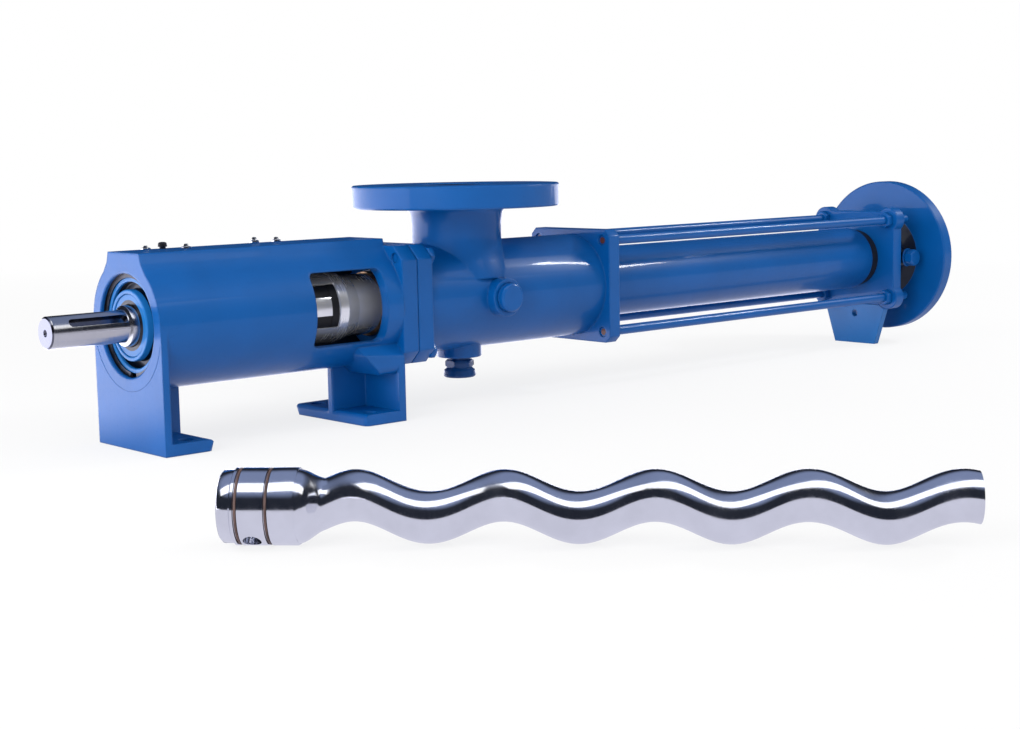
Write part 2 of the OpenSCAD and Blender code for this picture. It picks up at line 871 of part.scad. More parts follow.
module suction_housing() {
    rear_x = x_suction_end - rear_flange_t;
    color("royalblue")
        difference() {
            union() {
                slab(x_suction, suction_flange_t)
                    chamfered_square(flange_half, corner_cut);
                rod_x(x_suction, suction_len, suction_d / 2);
                slab(rear_x, rear_flange_t)
                    chamfered_square(rear_flange_half, corner_cut / 2);
                port_neck();
                translate([x_face + x_port + side_boss_back, 0, axis_h])
                    rotate([90, 0, 0])
                        translate([0, 0, -side_boss_reach])
                            cylinder(h = 2 * side_boss_reach, d = side_boss_d);
                translate([x_face + x_port, 0, axis_h - drain_reach])
                    cylinder(h = drain_reach, d = drain_boss_d);
            }
            rod_x(x_suction - cut, suction_flange_t + 2 * cut, spigot_d / 2 + seat_gap);
            rod_x(x_suction + suction_flange_t, suction_len - suction_flange_t - 18, suction_bore_d / 2);
            rod_x(x_suction_end - 20, 20 + cut, throat_d / 2);
            translate([x_face + x_port, 0, axis_h])
                cylinder(h = port_h + cut, d = port_bore_d);
            translate([x_face + x_port, 0, axis_h + port_h - port_flange_t - cut])
                bolt_circle(port_pcd, port_holes)
                    cylinder(h = port_flange_t + 2 * cut, d = port_hole_d);
            translate([x_face + x_port + side_boss_back, 0, axis_h])
                rotate([90, 0, 0])
                    translate([0, 0, -side_boss_reach - cut])
                        cylinder(h = 2 * (side_boss_reach + cut), d = plug_d + 2 * seat_gap);
            translate([x_face + x_port, 0, axis_h - drain_reach - cut])
                cylinder(h = drain_reach, d = drain_d + 2 * seat_gap);
            slab(x_suction - cut, suction_flange_t + 2 * cut)
                four_corners_flat(screw_pitch)
                    circle(d = screw_d + 2 * seat_gap);
            slab(rear_x - cut, rear_flange_t + 2 * cut)
                four_corners_flat(rod_pitch)
                    circle(d = tie_rod_d + 2 * seat_gap);
        }
}

module inspection_plugs() {
    wall = suction_bore_d / 2;
    color("royalblue")
        for (side = [-1, 1])
            translate([x_face + x_port + side_boss_back, 0, axis_h])
                rotate([side * 90, 0, 0]) {
                    translate([0, 0, wall])
                        cylinder(h = side_boss_reach + 6 - wall, d = plug_d);
                    translate([0, 0, side_boss_reach + 6])
                        cylinder(h = 2, d1 = plug_d, d2 = plug_d - 4);
                }
}

module drain_plug() {
    rim = drain_d / 2 + 4.5;
    color("midnightblue")
        translate([x_face + x_port, 0, axis_h - drain_reach]) {
            cylinder(h = 18, d = drain_d);
            translate([0, 0, -drain_len])
                rotate_extrude()
                    polygon([
                        [0, 0], [rim - 1, 0], [rim, 2], [rim - 1, 7], [rim - 3.5, 9],
                        [rim - 5, drain_len - 4], [rim - 5, drain_len], [0, drain_len]
                    ]);
        }
}

module stator_tube() {
    color("royalblue")
        turned([
            [stator_d / 2 - tube_wall, tube_start], [stator_d / 2, tube_start],
            [stator_d / 2, tube_end - 5], [stator_d / 2 - 1.5, tube_end - 1.5],
            [stator_d / 2 - tube_wall, tube_end]
        ]);
}

// Outline of the two-start cavity, a slot that turns once in two rotor pitches
module cavity_outline() {
    r = rotor_d / 2 + rotor_gap;
    for (y = [-2 * rotor_e, 2 * rotor_e])
        translate([y, 0])
            circle(r = r, $fn = 20);
    square([4 * rotor_e, 2 * r], center = true);
}

// Rubber lining with a collar at each end
module stator_rubber() {
    twist_len = stator_len + 2 * cut;
    cavity_twist = -180 * twist_len / rotor_pitch;
    start_angle = (orbit_angle + 360 * (x_suction_end - cut - x_screw) / rotor_pitch) / 2;
    color("black")
        difference() {
            turned([
                [0, x_suction_end], [stator_d / 2 - collar_step, x_suction_end],
                [stator_d / 2 - collar_step, tube_start],
                [stator_d / 2 - tube_wall - seat_gap, tube_start],
                [stator_d / 2 - tube_wall - seat_gap, tube_end],
                [stator_d / 2 - collar_step, tube_end],
                [stator_d / 2 - collar_step, x_end_plate], [0, x_end_plate]
            ]);
            translate([x_face + x_suction_end - cut, 0, axis_h])
                rotate([90, 0, 90])
                    linear_extrude(twist_len, twist = cavity_twist, slices = 60, segments = 0)
                        rotate(start_angle)
                            cavity_outline();
        }
}

// Eccentric round section swept along its screw, from the local origin along z
module rotor_screw(len) {
    slices = ceil(len / rotor_pitch * 14);
    linear_extrude(len, twist = -360 * len / rotor_pitch, slices = slices, segments = 0)
        translate([rotor_e, 0])
            circle(d = rotor_d, $fn = 20);
}

// Turned head with two grooves, a ball socket, a cone and a cross hole
module rotor_head() {
    r = head_d / 2;
    low = r - groove_deep;
    difference() {
        rotate_extrude()
            polygon([
                [0, 0], [low - 1.5, 0], [low, 1.5], [low, first_groove - 3], [r, first_groove - 2],
                [r, first_groove], [low, first_groove],
                [low, first_groove + groove_w], [r, first_groove + groove_w],
                [r, second_groove], [low, second_groove],
                [low, second_groove + groove_w], [r, second_groove + groove_w],
                [r, head_len], [rotor_d / 2 - rotor_e + 2, head_len + cone_len], [0, head_len + cone_len]
            ]);
        translate([0, 0, -cut])
            cylinder(h = cut + ball_depth - ring_back, r = ring_seat_r);
        translate([0, 0, -cut])
            cylinder(h = cut + ball_depth, r = ball_r + run_gap);
        translate([0, 0, ball_depth])
            sphere(r = ball_r + run_gap);
        translate([0, 0, head_len * 0.62])
            rotate([90, 0, 0])
                translate([0, 0, -head_d])
                    cylinder(h = 2 * head_d, r = 5);
    }
}

// Whole rotor from its head end along local z
module rotor_shape(len) {
    rotor_head();
    translate([0, 0, head_len + cone_len])
        rotor_screw(len);
    translate([0, 0, head_len + cone_len - 6])
        cylinder(h = 8, r = rotor_d / 2 - rotor_e);
}

module rotor() {
    color("silver")
        translate([x_face + x_rotor, 0, axis_h - rotor_e])
            rotate([90, 0, 90])
                rotor_shape(screw_len);
}

// The spare rests on its head and on the crest of its last turn
module spare_rotor() {
    rest_r = rotor_e + rotor_d / 2;
    tip = asin((head_d / 2 - rest_r) / (head_len + cone_len + spare_screw_len));
    color("silver")
        translate([spare_x, spare_y, head_d / 2 * cos(tip)])
            rotate([0, tip, spare_turn])
                rotate([90, 0, 90])
                    rotate([0, 0, spare_roll])
                        rotor_shape(spare_screw_len);
}

module joint_ring(x) {
    ring(x, ball_depth - ring_back - seat_gap, ring_seat_r - seat_gap, ring_bore_d / 2);
}

module drive_joint_ring() {
    color("gray")
        joint_ring(x_drive_ball + ring_back + seat_gap);
}

module rotor_joint_ring() {
    color("gray")
        translate([0, 0, -rotor_e])
            joint_ring(x_rotor);
}

// Cup on the end of the seal shaft that holds the coupling rod's ball
module drive_joint_head() {
    mouth = x_drive_head + drive_head_len;
    color("gray")
        difference() {
            turned([
                [0, x_drive_head], [drive_head_d / 2 - 3, x_drive_head],
                [drive_head_d / 2, x_drive_head + 3], [drive_head_d / 2, mouth], [0, mouth]
            ]);
            rod_x(x_drive_head - cut, stub_len + cut + seat_gap, stub_d / 2 + seat_gap);
            rod_x(x_drive_ball + ring_back, drive_head_len, ring_seat_r);
            rod_x(x_drive_ball, drive_head_len, ball_r + run_gap);
            on_axis(x_drive_ball)
                sphere(r = ball_r + run_gap);
        }
}

// Places children along the tilted coupling rod, from its drive ball
module on_rod() {
    on_axis(x_drive_ball)
        rotate([0, rod_tilt, 0])
            children();
}

module coupling_rod() {
    color("silver")
        on_rod() {
            sphere(r = ball_r);
            cylinder(h = rod_len, d = rod_d);
            translate([0, 0, rod_len])
                sphere(r = ball_r);
        }
}

// Bellows from the rod over the mouth of a head of radius head_r
module boot(head_r) {
    mouth = head_r + 1.4;
    grip = rod_d / 2 + seat_gap;
    fold = boot_len / 6;
    rotate_extrude()
        polygon([
            [mouth, -boot_grip], [mouth + boot_wall, -boot_grip], [mouth + boot_wall, fold / 3],
            [mouth - fold_deep, fold * 1.3], [mouth, fold * 2.2],
            [mouth - 2 * fold_deep, fold * 3.1], [mouth - fold_deep - 1, fold * 4],
            [grip + boot_wall + 1, boot_len - fold * 1.3], [grip + boot_wall, boot_len],
            [grip, boot_len], [grip, boot_len - fold * 1.5],
            [mouth - fold_deep - 1 - boot_wall, fold * 3.9],
            [mouth - 2 * fold_deep - boot_wall, fold * 3],
            [mouth - boot_wall, fold * 2.2], [mouth - fold_deep - boot_wall, fold * 1.3],
            [mouth, fold / 6]
        ]);
}

module drive_joint_boot() {
    color("black")
        on_rod()
            translate([0, 0, ball_depth])
                boot(drive_head_d / 2);
}

module rotor_joint_boot() {
    color("black")
        on_rod()
            translate([0, 0, rod_len - ball_depth])
                mirror([0, 0, 1])
                    boot(head_d / 2);
}

module tie_rods() {
    start = x_suction_end - rear_flange_t + rod_recess;
    color("royalblue")
        translate([x_face, 0, axis_h])
            four_corners(rod_pitch)
                translate([start, 0, 0])
                    rotate([0, 90, 0])
                        cylinder(h = x_branch + rod_tail - start, d = tie_rod_d);
}

module hex_nut() {
    difference() {
        cylinder(h = nut_t, d = nut_af / cos(30), $fn = 6);
        translate([0, 0, -cut])
            cylinder(h = nut_t + 2 * cut, d = tie_rod_d + 2 * seat_gap);
    }
}

module tie_rod_nuts() {
    color("royalblue")
        translate([x_face, 0, axis_h])
            four_corners(rod_pitch)
                for (x = [x_end_plate - nut_t, x_branch])
                    translate([x, 0, 0])
                        rotate([0, 90, 0])
                            hex_nut();
}

module end_plate() {
    color("royalblue")
        slab(x_end_plate, end_plate_t)
            difference() {
                union() {
                    chamfered_square(end_plate_half, corner_cut);
                    four_corners_flat(rod_pitch)
                        circle(r = lug_r);
                }
                circle(d = discharge_bore_d);
                four_corners_flat(rod_pitch)
                    circle(d = tie_rod_d + 2 * seat_gap);
            }
}

// Tapered plate that stands on the floor under the end plate
module end_support() {
    top = -end_plate_half;
    color("cornflowerblue")
        slab(x_end_plate, support_t)
            difference() {
                polygon([
                    [-support_foot_half, -axis_h], [support_foot_half, -axis_h],
                    [support_top_half, top - 6], [support_top_half, top],
                    [-support_top_half, top], [-support_top_half, top - 6]
                ]);
                four_corners_flat(rod_pitch)
                    circle(r = lug_r + seat_gap);
                translate([0, top - 13])
                    circle(d = support_hole_d);
            }
}

module discharge_branch() {
    bore = discharge_bore_d / 2;
    neck = branch_neck_d / 2;
    back = x_discharge - branch_flange_t;
    color("royalblue")
        difference() {
            union() {
                turned([
                    [bore, x_branch], [neck, x_branch], [neck, back - 14], [neck + 12, back],
                    [branch_flange_d / 2, back], [branch_flange_d / 2, x_discharge - raised_h],
                    [raised_d / 2, x_discharge - raised_h], [raised_d / 2, x_discharge],
                    [bore, x_discharge]
                ]);
                branch_boss(0, branch_boss_reach, 12);
            }
            rod_x(x_branch - cut, branch_len + 2 * cut, bore);
            branch_boss(0, branch_boss_reach + cut, 7 + seat_gap);
            on_axis(x_discharge - raised_h - stud_hole_deep)
                bolt_circle(branch_pcd, port_holes)
                    cylinder(h = stud_hole_deep + raised_h, d = stud_hole_d);
        }
}

// Round boss on the near side of the discharge neck
module branch_boss(from, reach, r) {
    translate([x_face + x_branch + branch_boss_x, 0, axis_h])
        rotate([90, 0, 0])
            translate([0, 0, from])
                cylinder(h = reach - from, r = r);
}

module branch_plug() {
    inner = discharge_bore_d / 2 + 2;
    color("royalblue") {
        branch_boss(inner, branch_boss_reach, 7);
        translate([x_face + x_branch + branch_boss_x, -branch_boss_reach, axis_h])
            rotate([90, 0, 0])
                cylinder(h = 12, r = 11, $fn = 6);
    }
}

drive_casing();
front_bearing_cover();
cover_circlip();
front_oil_seal();
rear_oil_seal();
front_bearing_outer();
rear_bearing_outer();
grease_nipples();
breather();
stuffing_box();
packing_rings();
gland();
flange_gasket();
flange_screws();
suction_housing();
inspection_plugs();
drain_plug();
stator_tube();
stator_rubber();
tie_rods();
tie_rod_nuts();
end_plate();
end_support();
discharge_branch();
branch_plug();
spare_rotor();
drive_shaft();
front_bearing_inner();
rear_bearing_inner();
spacer_sleeve();
lock_nut();
drive_jaw();
driven_jaw();
seal_shaft();
drive_joint_head();
drive_joint_ring();
front_bearing_balls();
rear_bearing_balls();
coupling_rod();
drive_joint_boot();
rotor_joint_boot();
rotor();
rotor_joint_ring();
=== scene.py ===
"""Screw pump: the finished castings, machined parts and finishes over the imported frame."""
import json
import math

import bpy
from mathutils import Euler, Matrix, Vector


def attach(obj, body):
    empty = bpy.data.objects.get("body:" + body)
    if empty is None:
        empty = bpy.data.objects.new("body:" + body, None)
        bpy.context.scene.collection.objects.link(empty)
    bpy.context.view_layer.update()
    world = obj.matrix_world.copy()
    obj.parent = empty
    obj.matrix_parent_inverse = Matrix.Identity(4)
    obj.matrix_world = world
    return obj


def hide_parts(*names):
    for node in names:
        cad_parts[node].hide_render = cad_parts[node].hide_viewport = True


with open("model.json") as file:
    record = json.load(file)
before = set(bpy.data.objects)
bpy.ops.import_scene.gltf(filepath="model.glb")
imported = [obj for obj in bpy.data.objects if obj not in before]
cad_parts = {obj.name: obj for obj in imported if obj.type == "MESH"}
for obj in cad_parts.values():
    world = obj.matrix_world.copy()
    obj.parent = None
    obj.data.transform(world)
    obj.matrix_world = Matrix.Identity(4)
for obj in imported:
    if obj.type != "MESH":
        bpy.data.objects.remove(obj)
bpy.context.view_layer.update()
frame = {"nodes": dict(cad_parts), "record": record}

MM = 0.001
AXIS_H = 115.0
STEPS = 96
X, Y, Z = Vector((1, 0, 0)), Vector((0, 1, 0)), Vector((0, 0, 1))

# Stations along the pump, in millimetres from the middle of the foot bolts
FACE = -136.0
REAR_FOOT = 89.33
REAR_FOOT_END = 139.33
CASING_FLANGE = 139.0
CASING_END = 158.0
SUCTION = 159.0
SUCTION_END = 444.0
REAR_FLANGE = 428.0
END_PLATE = 961.0
BRANCH = 978.0
PORT = 261.0
ROTOR_HEAD = 364.0
DRIVE_BALL = 214.0
ROTOR_BALL = 376.0

# Other sizes that several pieces share, in millimetres
CROWN_TOP = AXIS_H + 67.0
SCREWS_OUT = 48.0
RODS_OUT = 51.0
DISCHARGE_R = 38.0
ROTOR_E = 7.6
ROTOR_D = 36.0
ROTOR_PITCH = 103.0
HEAD_R = 27.0
SPARE_LENGTH = 514.0


# ---------------------------------------------------------------- workshop
def deselect():
    if bpy.context.mode != "OBJECT":
        bpy.ops.object.mode_set(mode="OBJECT")
    bpy.ops.object.select_all(action="DESELECT")


def work_on(piece):
    deselect()
    piece.select_set(True)
    bpy.context.view_layer.objects.active = piece


def edit(piece, select="SELECT"):
    work_on(piece)
    bpy.ops.object.mode_set(mode="EDIT")
    bpy.ops.mesh.select_mode(type="VERT")
    bpy.ops.mesh.select_all(action=select)


def settle(piece):
    """Puts a piece's place into its mesh."""
    work_on(piece)
    bpy.ops.object.transform_apply(location=True, rotation=True, scale=True)
    return piece


def close_up(piece):
    """Merges doubles and points the faces outwards."""
    edit(piece)
    bpy.ops.mesh.remove_doubles(threshold=0.000004)
    bpy.ops.mesh.normals_make_consistent(inside=False)
    bpy.ops.object.mode_set(mode="OBJECT")
    return piece


def outline(name, points):
    """A line drawn through points, left in edit mode with its last point selected."""
    deselect()
    bpy.ops.mesh.primitive_plane_add(size=0.001)
    piece = bpy.context.active_object
    piece.name = piece.data.name = name
    edit(piece)
    bpy.ops.mesh.merge(type="CENTER")
    bpy.ops.transform.translate(value=points[0] * MM)
    for before, after in zip(points, points[1:]):
        bpy.ops.mesh.extrude_vertices_move(TRANSFORM_OT_translate={"value": (after - before) * MM})
    return piece


def spun(name, profile, centre=(0, 0, AXIS_H), along=X, steps=STEPS, closed=False):
    """A profile of (station, radius) turned about the line through centre."""
    centre, side = Vector(centre), Z if abs(along.z) < 0.5 else X
    points = [centre + along * d + side * r for d, r in profile]
    if closed:
        points.append(points[0])
    piece = outline(name, points)
    bpy.ops.mesh.select_all(action="SELECT")
    bpy.ops.mesh.spin(steps=steps, angle=2 * math.pi, center=centre * MM, axis=along)
    return close_up(piece)


def block(name, low, high):
    deselect()
    middle = [(a + b) / 2 * MM for a, b in zip(low, high)]
    bpy.ops.mesh.primitive_cube_add(size=1, location=middle)
    piece = bpy.context.active_object
    piece.name = piece.data.name = name
    piece.scale = [(b - a) * MM for a, b in zip(low, high)]
    return settle(piece)


def plate(name, points, low_x, high_x):
    """A flat plate across the pump from its (y, z) points."""
    piece = outline(name, [Vector((low_x, y, z)) for y, z in points + points[:1]])
    bpy.ops.mesh.select_all(action="SELECT")
    bpy.ops.mesh.remove_doubles(threshold=0.000004)
    bpy.ops.mesh.edge_face_add()
    push = {"value": ((high_x - low_x) * MM, 0, 0)}
    bpy.ops.mesh.extrude_region_move(TRANSFORM_OT_translate=push)
    return close_up(piece)


def round_edges(piece, along, size, segments, keep=lambda middle: True):
    """Rounds or, with one segment, chamfers the edges that run along a direction."""
    edit(piece, "DESELECT")
    bpy.ops.mesh.select_mode(type="EDGE")
    bpy.ops.object.mode_set(mode="OBJECT")
    mesh = piece.data
    for edge in mesh.edges:
        a, b = (mesh.vertices[i].co for i in edge.vertices)
        edge.select = abs((b - a).normalized().dot(along)) > 0.999 and keep((a + b) / 2 / MM)
    bpy.ops.object.mode_set(mode="EDIT")
    bpy.ops.mesh.bevel(offset=size * MM, segments=segments, affect="EDGES")
    bpy.ops.object.mode_set(mode="OBJECT")
    return piece


def finish_with(piece, kind, **settings):
    """Adds one modifier and applies it."""
    work_on(piece)
    modifier = piece.modifiers.new(kind.title(), kind)
    for name, value in settings.items():
        setattr(modifier, name, value)
    bpy.ops.object.modifier_apply(modifier=modifier.name)
    return piece


def soften(piece, width, segments=2, angle=32):
    return finish_with(piece, "BEVEL", width=width * MM, segments=segments, limit_method="ANGLE",
                       angle_limit=math.radians(angle), use_clamp_overlap=True)


def combine(piece, others, operation):
    for other in others:
        finish_with(piece, "BOOLEAN", operation=operation, object=other, solver="EXACT")
        bpy.data.objects.remove(other)
    return piece


def weld(piece, *others):
    return combine(piece, others, "UNION")


def cut(piece, *others):
    return combine(piece, others, "DIFFERENCE")


def drill(centre, along, radius, length, steps=32):
    """A plain cylinder to cut with, from centre on."""
    return spun("drill", [(0, 0), (0, radius), (length, radius), (length, 0)], centre, along, steps)


def join(piece, *others):
    """Makes separate solids one piece."""
    deselect()
    for other in others:
        other.select_set(True)
    piece.select_set(True)
    bpy.context.view_layer.objects.active = piece
    bpy.ops.object.join()
    return piece


def corners(out):
    """The (y, z) places of four bolts round the pump's axis."""
    return [(y, AXIS_H + z) for y in (-out, out) for z in (-out, out)]


def hexagon(name, across, start, along, length, turn=0.0):
    """A six-sided head or nut with its corners turned off."""
    start, corner = Vector(start), across / math.sqrt(3)
    deselect()
    bpy.ops.mesh.primitive_cylinder_add(vertices=6, radius=corner * MM, depth=length * MM,
                                        location=(start + along * length / 2) * MM)
    piece = bpy.context.active_object
    piece.name = piece.data.name = name
    piece.rotation_mode = "QUATERNION"
    spin = Matrix.Rotation(turn, 4, "Z").to_quaternion()
    piece.rotation_quaternion = along.to_track_quat("Z", "Y") @ spin
    settle(piece)
    low, high, clear = across * 0.48, across * 0.08, corner + 0.01
    cone = spun("chamfer", [(0, 0), (0, low), (high, clear), (length - high, clear), (length, low),
                            (length, 0)], start, along, 48)
    combine(piece, [cone], "INTERSECT")
    return soften(piece, 0.25, 1, 20)


def finished(piece, body, slot, material, *nodes, angle=34):
    """Last steps for a piece: smooth faces, finish, body and the frame nodes it stands for."""
    work_on(piece)
    bpy.ops.object.shade_smooth_by_angle(angle=math.radians(angle))
    # Faces square to an axis stay flat, so that they shine evenly
    for face in piece.data.polygons:
        if max(abs(c) for c in face.normal) > 0.99995:
            face.use_smooth = False
    piece.data.materials.clear()
    piece.data.materials.append(material)
    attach(piece, body)
    if nodes:
        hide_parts(*nodes)
    return piece


# ---------------------------------------------------------------- finishes
class Wire:
    """A socket in a finish. Sums and products of wires add their Math nodes."""

    def __init__(self, tree, socket=None):
        self.tree, self.socket = tree, socket

    def node(self, kind, settings, sockets, out=0):
        made = self.tree.nodes.new(kind)
        for name, value in settings.items():
            if name == "stops":
                ramp = made.color_ramp
                while len(ramp.elements) < len(value):
                    ramp.elements.new(0.5)
                for element, (position, colour) in zip(ramp.elements, value):
                    element.position, element.color = position, colour
            else:
                setattr(made, name, value)
        for name, value in sockets.items():
            if isinstance(value, Wire):
                self.tree.links.new(value.socket, made.inputs[name])
            else:
                made.inputs[name].default_value = value
        return Wire(self.tree, made.outputs[out] if made.outputs else None)

    def maths(self, operation, first, second=0.0):
        return self.node("ShaderNodeMath", {"operation": operation}, {0: first, 1: second})

    def __add__(self, other):
        return self.maths("ADD", self, other)

    __radd__ = __add__

    def __sub__(self, other):
        return self.maths("SUBTRACT", self, other)

    def __rsub__(self, other):
        return self.maths("SUBTRACT", other, self)

    def __mul__(self, other):
        return self.maths("MULTIPLY", self, other)

    __rmul__ = __mul__

    def __pow__(self, other):
        return self.maths("POWER", self, other)

    def over(self, limit):
        return self.maths("GREATER_THAN", self, limit)

    def either(self, other):
        return self.maths("MAXIMUM", self, other)

    def blend(self, first, second):
        """One colour where the wire is 0 and the other where it is 1."""
        return self.node("ShaderNodeMix", {"data_type": "RGBA"}, {0: self, 6: first, 7: second}, 2)

    def noise(self, place, scale, detail=3.0, roughness=0.55):
        return self.node("ShaderNodeTexNoise", {}, {"Vector": place, "Scale": scale,
                                                    "Detail": detail, "Roughness": roughness})

    def ramp(self, low, high):
        """0 below low, 1 above high."""
        black, white = (0, 0, 0, 1), (1, 1, 1, 1)
        return self.node("ShaderNodeValToRGB", {"stops": [(low, black), (high, white)]}, {0: self})

    def ease(self, low, high, first, last):
        """Goes softly from the first value to the last one."""
        return self.node("ShaderNodeMapRange", {"interpolation_type": "SMOOTHSTEP"},
                         {0: self, 1: low, 2: high, 3: first, 4: last})

    def axis(self, number):
        """The x, y or z of a place."""
        return self.node("ShaderNodeSeparateXYZ", {}, {0: self}, number)

    def path(self):
        """Whether a ray comes from the camera, off a glossy face or through a clear one."""
        return [self.node("ShaderNodeLightPath", {}, {}, out) for out in (0, 3, 6)]

    def bump(self, strength, distance, height, **more):
        return self.node("ShaderNodeBump", {}, {"Strength": strength, "Distance": distance,
                                                "Height": height, **more})


def new_finish(name, stretch=(1, 1, 1)):
    """An empty material, its wire and its place on the piece, plain and stretched."""
    material = bpy.data.materials.new(name)
    material.use_nodes = True
    tree = material.node_tree
    tree.nodes.clear()
    wire = Wire(tree)
    place = wire.node("ShaderNodeTexCoord", {}, {}, 3)
    return material, wire, place, wire.node("ShaderNodeMapping", {}, {0: place, 3: stretch})


def surface(wire, colour, roughness, normal, **fixed):
    """The surface shader and its output."""
    sockets = {"Base Color": colour, "Roughness": roughness, "Normal": normal}
    sockets.update({name.replace("_", " "): value for name, value in fixed.items()})
    shader = wire.node("ShaderNodeBsdfPrincipled", {}, sockets)
    wire.node("ShaderNodeOutputMaterial", {}, {"Surface": shader})


def shade(colour, factor):
    return tuple(min(1.0, c * factor) for c in colour) + (1,)


def enamel(name, colour, bare_or_shade=None, where=None, edges=0.0016):
    """Enamel sprayed over a casting, and a second colour where a mask says: rubber or rust that the piece
    has, or dark primer and painted shade in its hollows.
    """
    material, wire, place, _ = new_finish(name)
    clouds = wire.noise(place, 14.0, 3.0)
    skin = wire.noise(place, 160.0, 3.0)
    peel = wire.noise(place, 700.0, 2.0)
    specks = wire.noise(place, 420.0, 1.0).ramp(0.70, 0.76)
    colour_out = clouds.ramp(0.30, 0.72).blend(shade(colour, 0.90), shade(colour, 1.06))
    colour_out = (specks * 0.35).blend(colour_out, shade(colour, 0.62))
    if where:
        colour_out = where(place).blend(colour_out, shade(bare_or_shade, 1.0))
    edge = wire.node("ShaderNodeBevel", {"samples": 6}, {"Radius": edges})
    height = clouds * 0.5 + skin * 0.35 + peel * 0.10
    normal = wire.bump(0.16, 0.0014, height, Normal=edge)
    rough = skin * 0.10 + 0.34 + specks * 0.12
    surface(wire, colour_out, rough, normal, IOR=1.32, Coat_Weight=0.22, Coat_Roughness=0.07)
    return material


# Masks: 1 where a piece has its second colour or its painted shade, and 0 elsewhere
def near_axis(place, radius):
    """Nearer than radius millimetres to the pump's axis."""
    y, z = place.axis(1), place.axis(2)
    return 1 - (y ** 2.0 + (z - AXIS_H * MM) ** 2.0).over((radius * MM) ** 2)


def primer_and_painted_shade_inside(place):
    """Dark primer, painted there as shade, on the walls inside the lantern, the suction chamber and the port,
    but for the lantern's near wall, and painted shade deep in the front recess's groove.
    """
    x, y, z = (place.axis(number) for number in range(3))
    chamber = near_axis(place, 50.5) * x.over(0.0225) * y.over(-0.030).either(x.over(0.17))
    groove = near_axis(place, 50.2) * x.over((FACE + 3.5) * MM) * (1 - x.over((FACE + 19) * MM))
    off_port = (x - PORT * MM) ** 2.0 + y ** 2.0
    port = (1 - off_port.over(0.0403 ** 2)) * z.over(0.14)
    return chamber.either(groove).either(port)


def rod_ends(place):
    """The cut faces of the tie rods in the suction housing's rear flange."""
    x, y, z = (place.axis(number) for number in range(3))
    aside = y.maths("ABSOLUTE", y) - RODS_OUT * MM
    up = z.maths("ABSOLUTE", z - AXIS_H * MM) - RODS_OUT * MM
    return (1 - x.over(0.4301)) * (1 - (aside * aside + up * up).over(0.0037 ** 2))


def seal_lip(place):
    return near_axis(place, 23.5)


# Painted shade: the cover's face deeper than x -126.8 mm is dark whatever the light
def shaded_cover_grooves(place):
    return place.axis(0).over(-0.1268)


# Painted shade: the branch's neck, near the axis and short of x 1020.7 mm, dark as if in the shadow behind
# the end plate
def shaded_branch_neck(place):
    return near_axis(place, 58.0) * (1 - place.axis(0).over(1.0207))


def sawn_end_and_keyway(place):
    x = place.axis(0)
    keyway = near_axis(place, 14.5) * (1 - x.over(-0.1405))
    return keyway.either(1 - x.over(-0.2158))


def bright_metal(name, colour, rough, streak, smudge, lines=900.0, metal=1.0, dull=None):
    """Turned and polished metal: fine rings round the axis, smudges, and a slight colour drift."""
    material, wire, place, along = new_finish(name, (lines, 26.0, 26.0))
    rings = wire.noise(along, 1.0, 2.0, 0.5)
    handled = wire.noise(place, 38.0, 3.0)
    pits = wire.noise(place, 900.0, 2.0)
    base = handled.ramp(0.30, 0.75).blend(shade(colour, 0.93), shade(colour, 1.04))
    if dull:
        base = dull(place).blend(base, (0.16, 0.165, 0.20, 1))
    roughness = handled.ramp(0.40, 0.85) * smudge + rings * rough + rough * 0.5
    normal = wire.bump(0.10, 0.0004, rings * streak + pits * 0.08)
    surface(wire, base, roughness, normal, Metallic=metal)
    return material


def dark_metal(name, colour):
    """Blackened or oiled steel with worn, lighter patches."""
    material, wire, place, _ = new_finish(name)
    patches = wire.noise(place, 90.0, 4.0)
    grain = wire.noise(place, 1100.0, 2.0)
    base = patches.ramp(0.42, 0.80).blend(shade(colour, 0.75), shade(colour, 2.1))
    normal = wire.bump(0.25, 0.0004, patches * 0.5 + grain * 0.3)
    surface(wire, base, patches * 0.25 + 0.30, normal, Metallic=0.9)
    return material


def dull_bronze(name, colour):
    """Cast bronze with turning marks and brown tarnish."""
    material, wire, place, along = new_finish(name, (1300.0, 30.0, 30.0))
    rings = wire.noise(along, 1.0, 2.0)
    tarnish = wire.noise(place, 70.0, 4.0).ramp(0.36, 0.70)
    base = tarnish.blend(shade(colour, 1.25), (0.10, 0.06, 0.045, 1))
    normal = wire.bump(0.2, 0.0004, rings * 0.5 + tarnish * 0.2)
    surface(wire, base, tarnish * 0.22 + 0.28, normal, Metallic=0.85)
    return material


def rubber(name, colour):
    """Moulded rubber with a fine bloom."""
    material, wire, place, _ = new_finish(name)
    bloom = wire.noise(place, 60.0, 4.0)
    grain = wire.noise(place, 1500.0, 2.0)
    base = bloom.ramp(0.35, 0.80).blend(shade(colour, 0.8), shade(colour, 2.2))
    normal = wire.bump(0.3, 0.0003, grain * 0.6 + bloom * 0.3)
    surface(wire, base, bloom * 0.2 + 0.42, normal, IOR=1.45)
    return material


def braid(name, colour):
    """Greased packing braid: crossed strands round the ring."""
    material, wire, place, along = new_finish(name, (900.0, 500.0, 500.0))
    weave = wire.node("ShaderNodeTexWave", {"wave_type": "BANDS", "bands_direction": "DIAGONAL"},
                      {"Vector": along, "Scale": 0.6, "Distortion": 3.0})
    grease = wire.noise(place, 120.0, 3.0)
    base = weave.blend(shade(colour, 0.45), shade(colour, 1.1))
    normal = wire.bump(0.6, 0.0006, weave)
    surface(wire, base, grease * 0.3 + 0.35, normal, IOR=1.45)
    return material


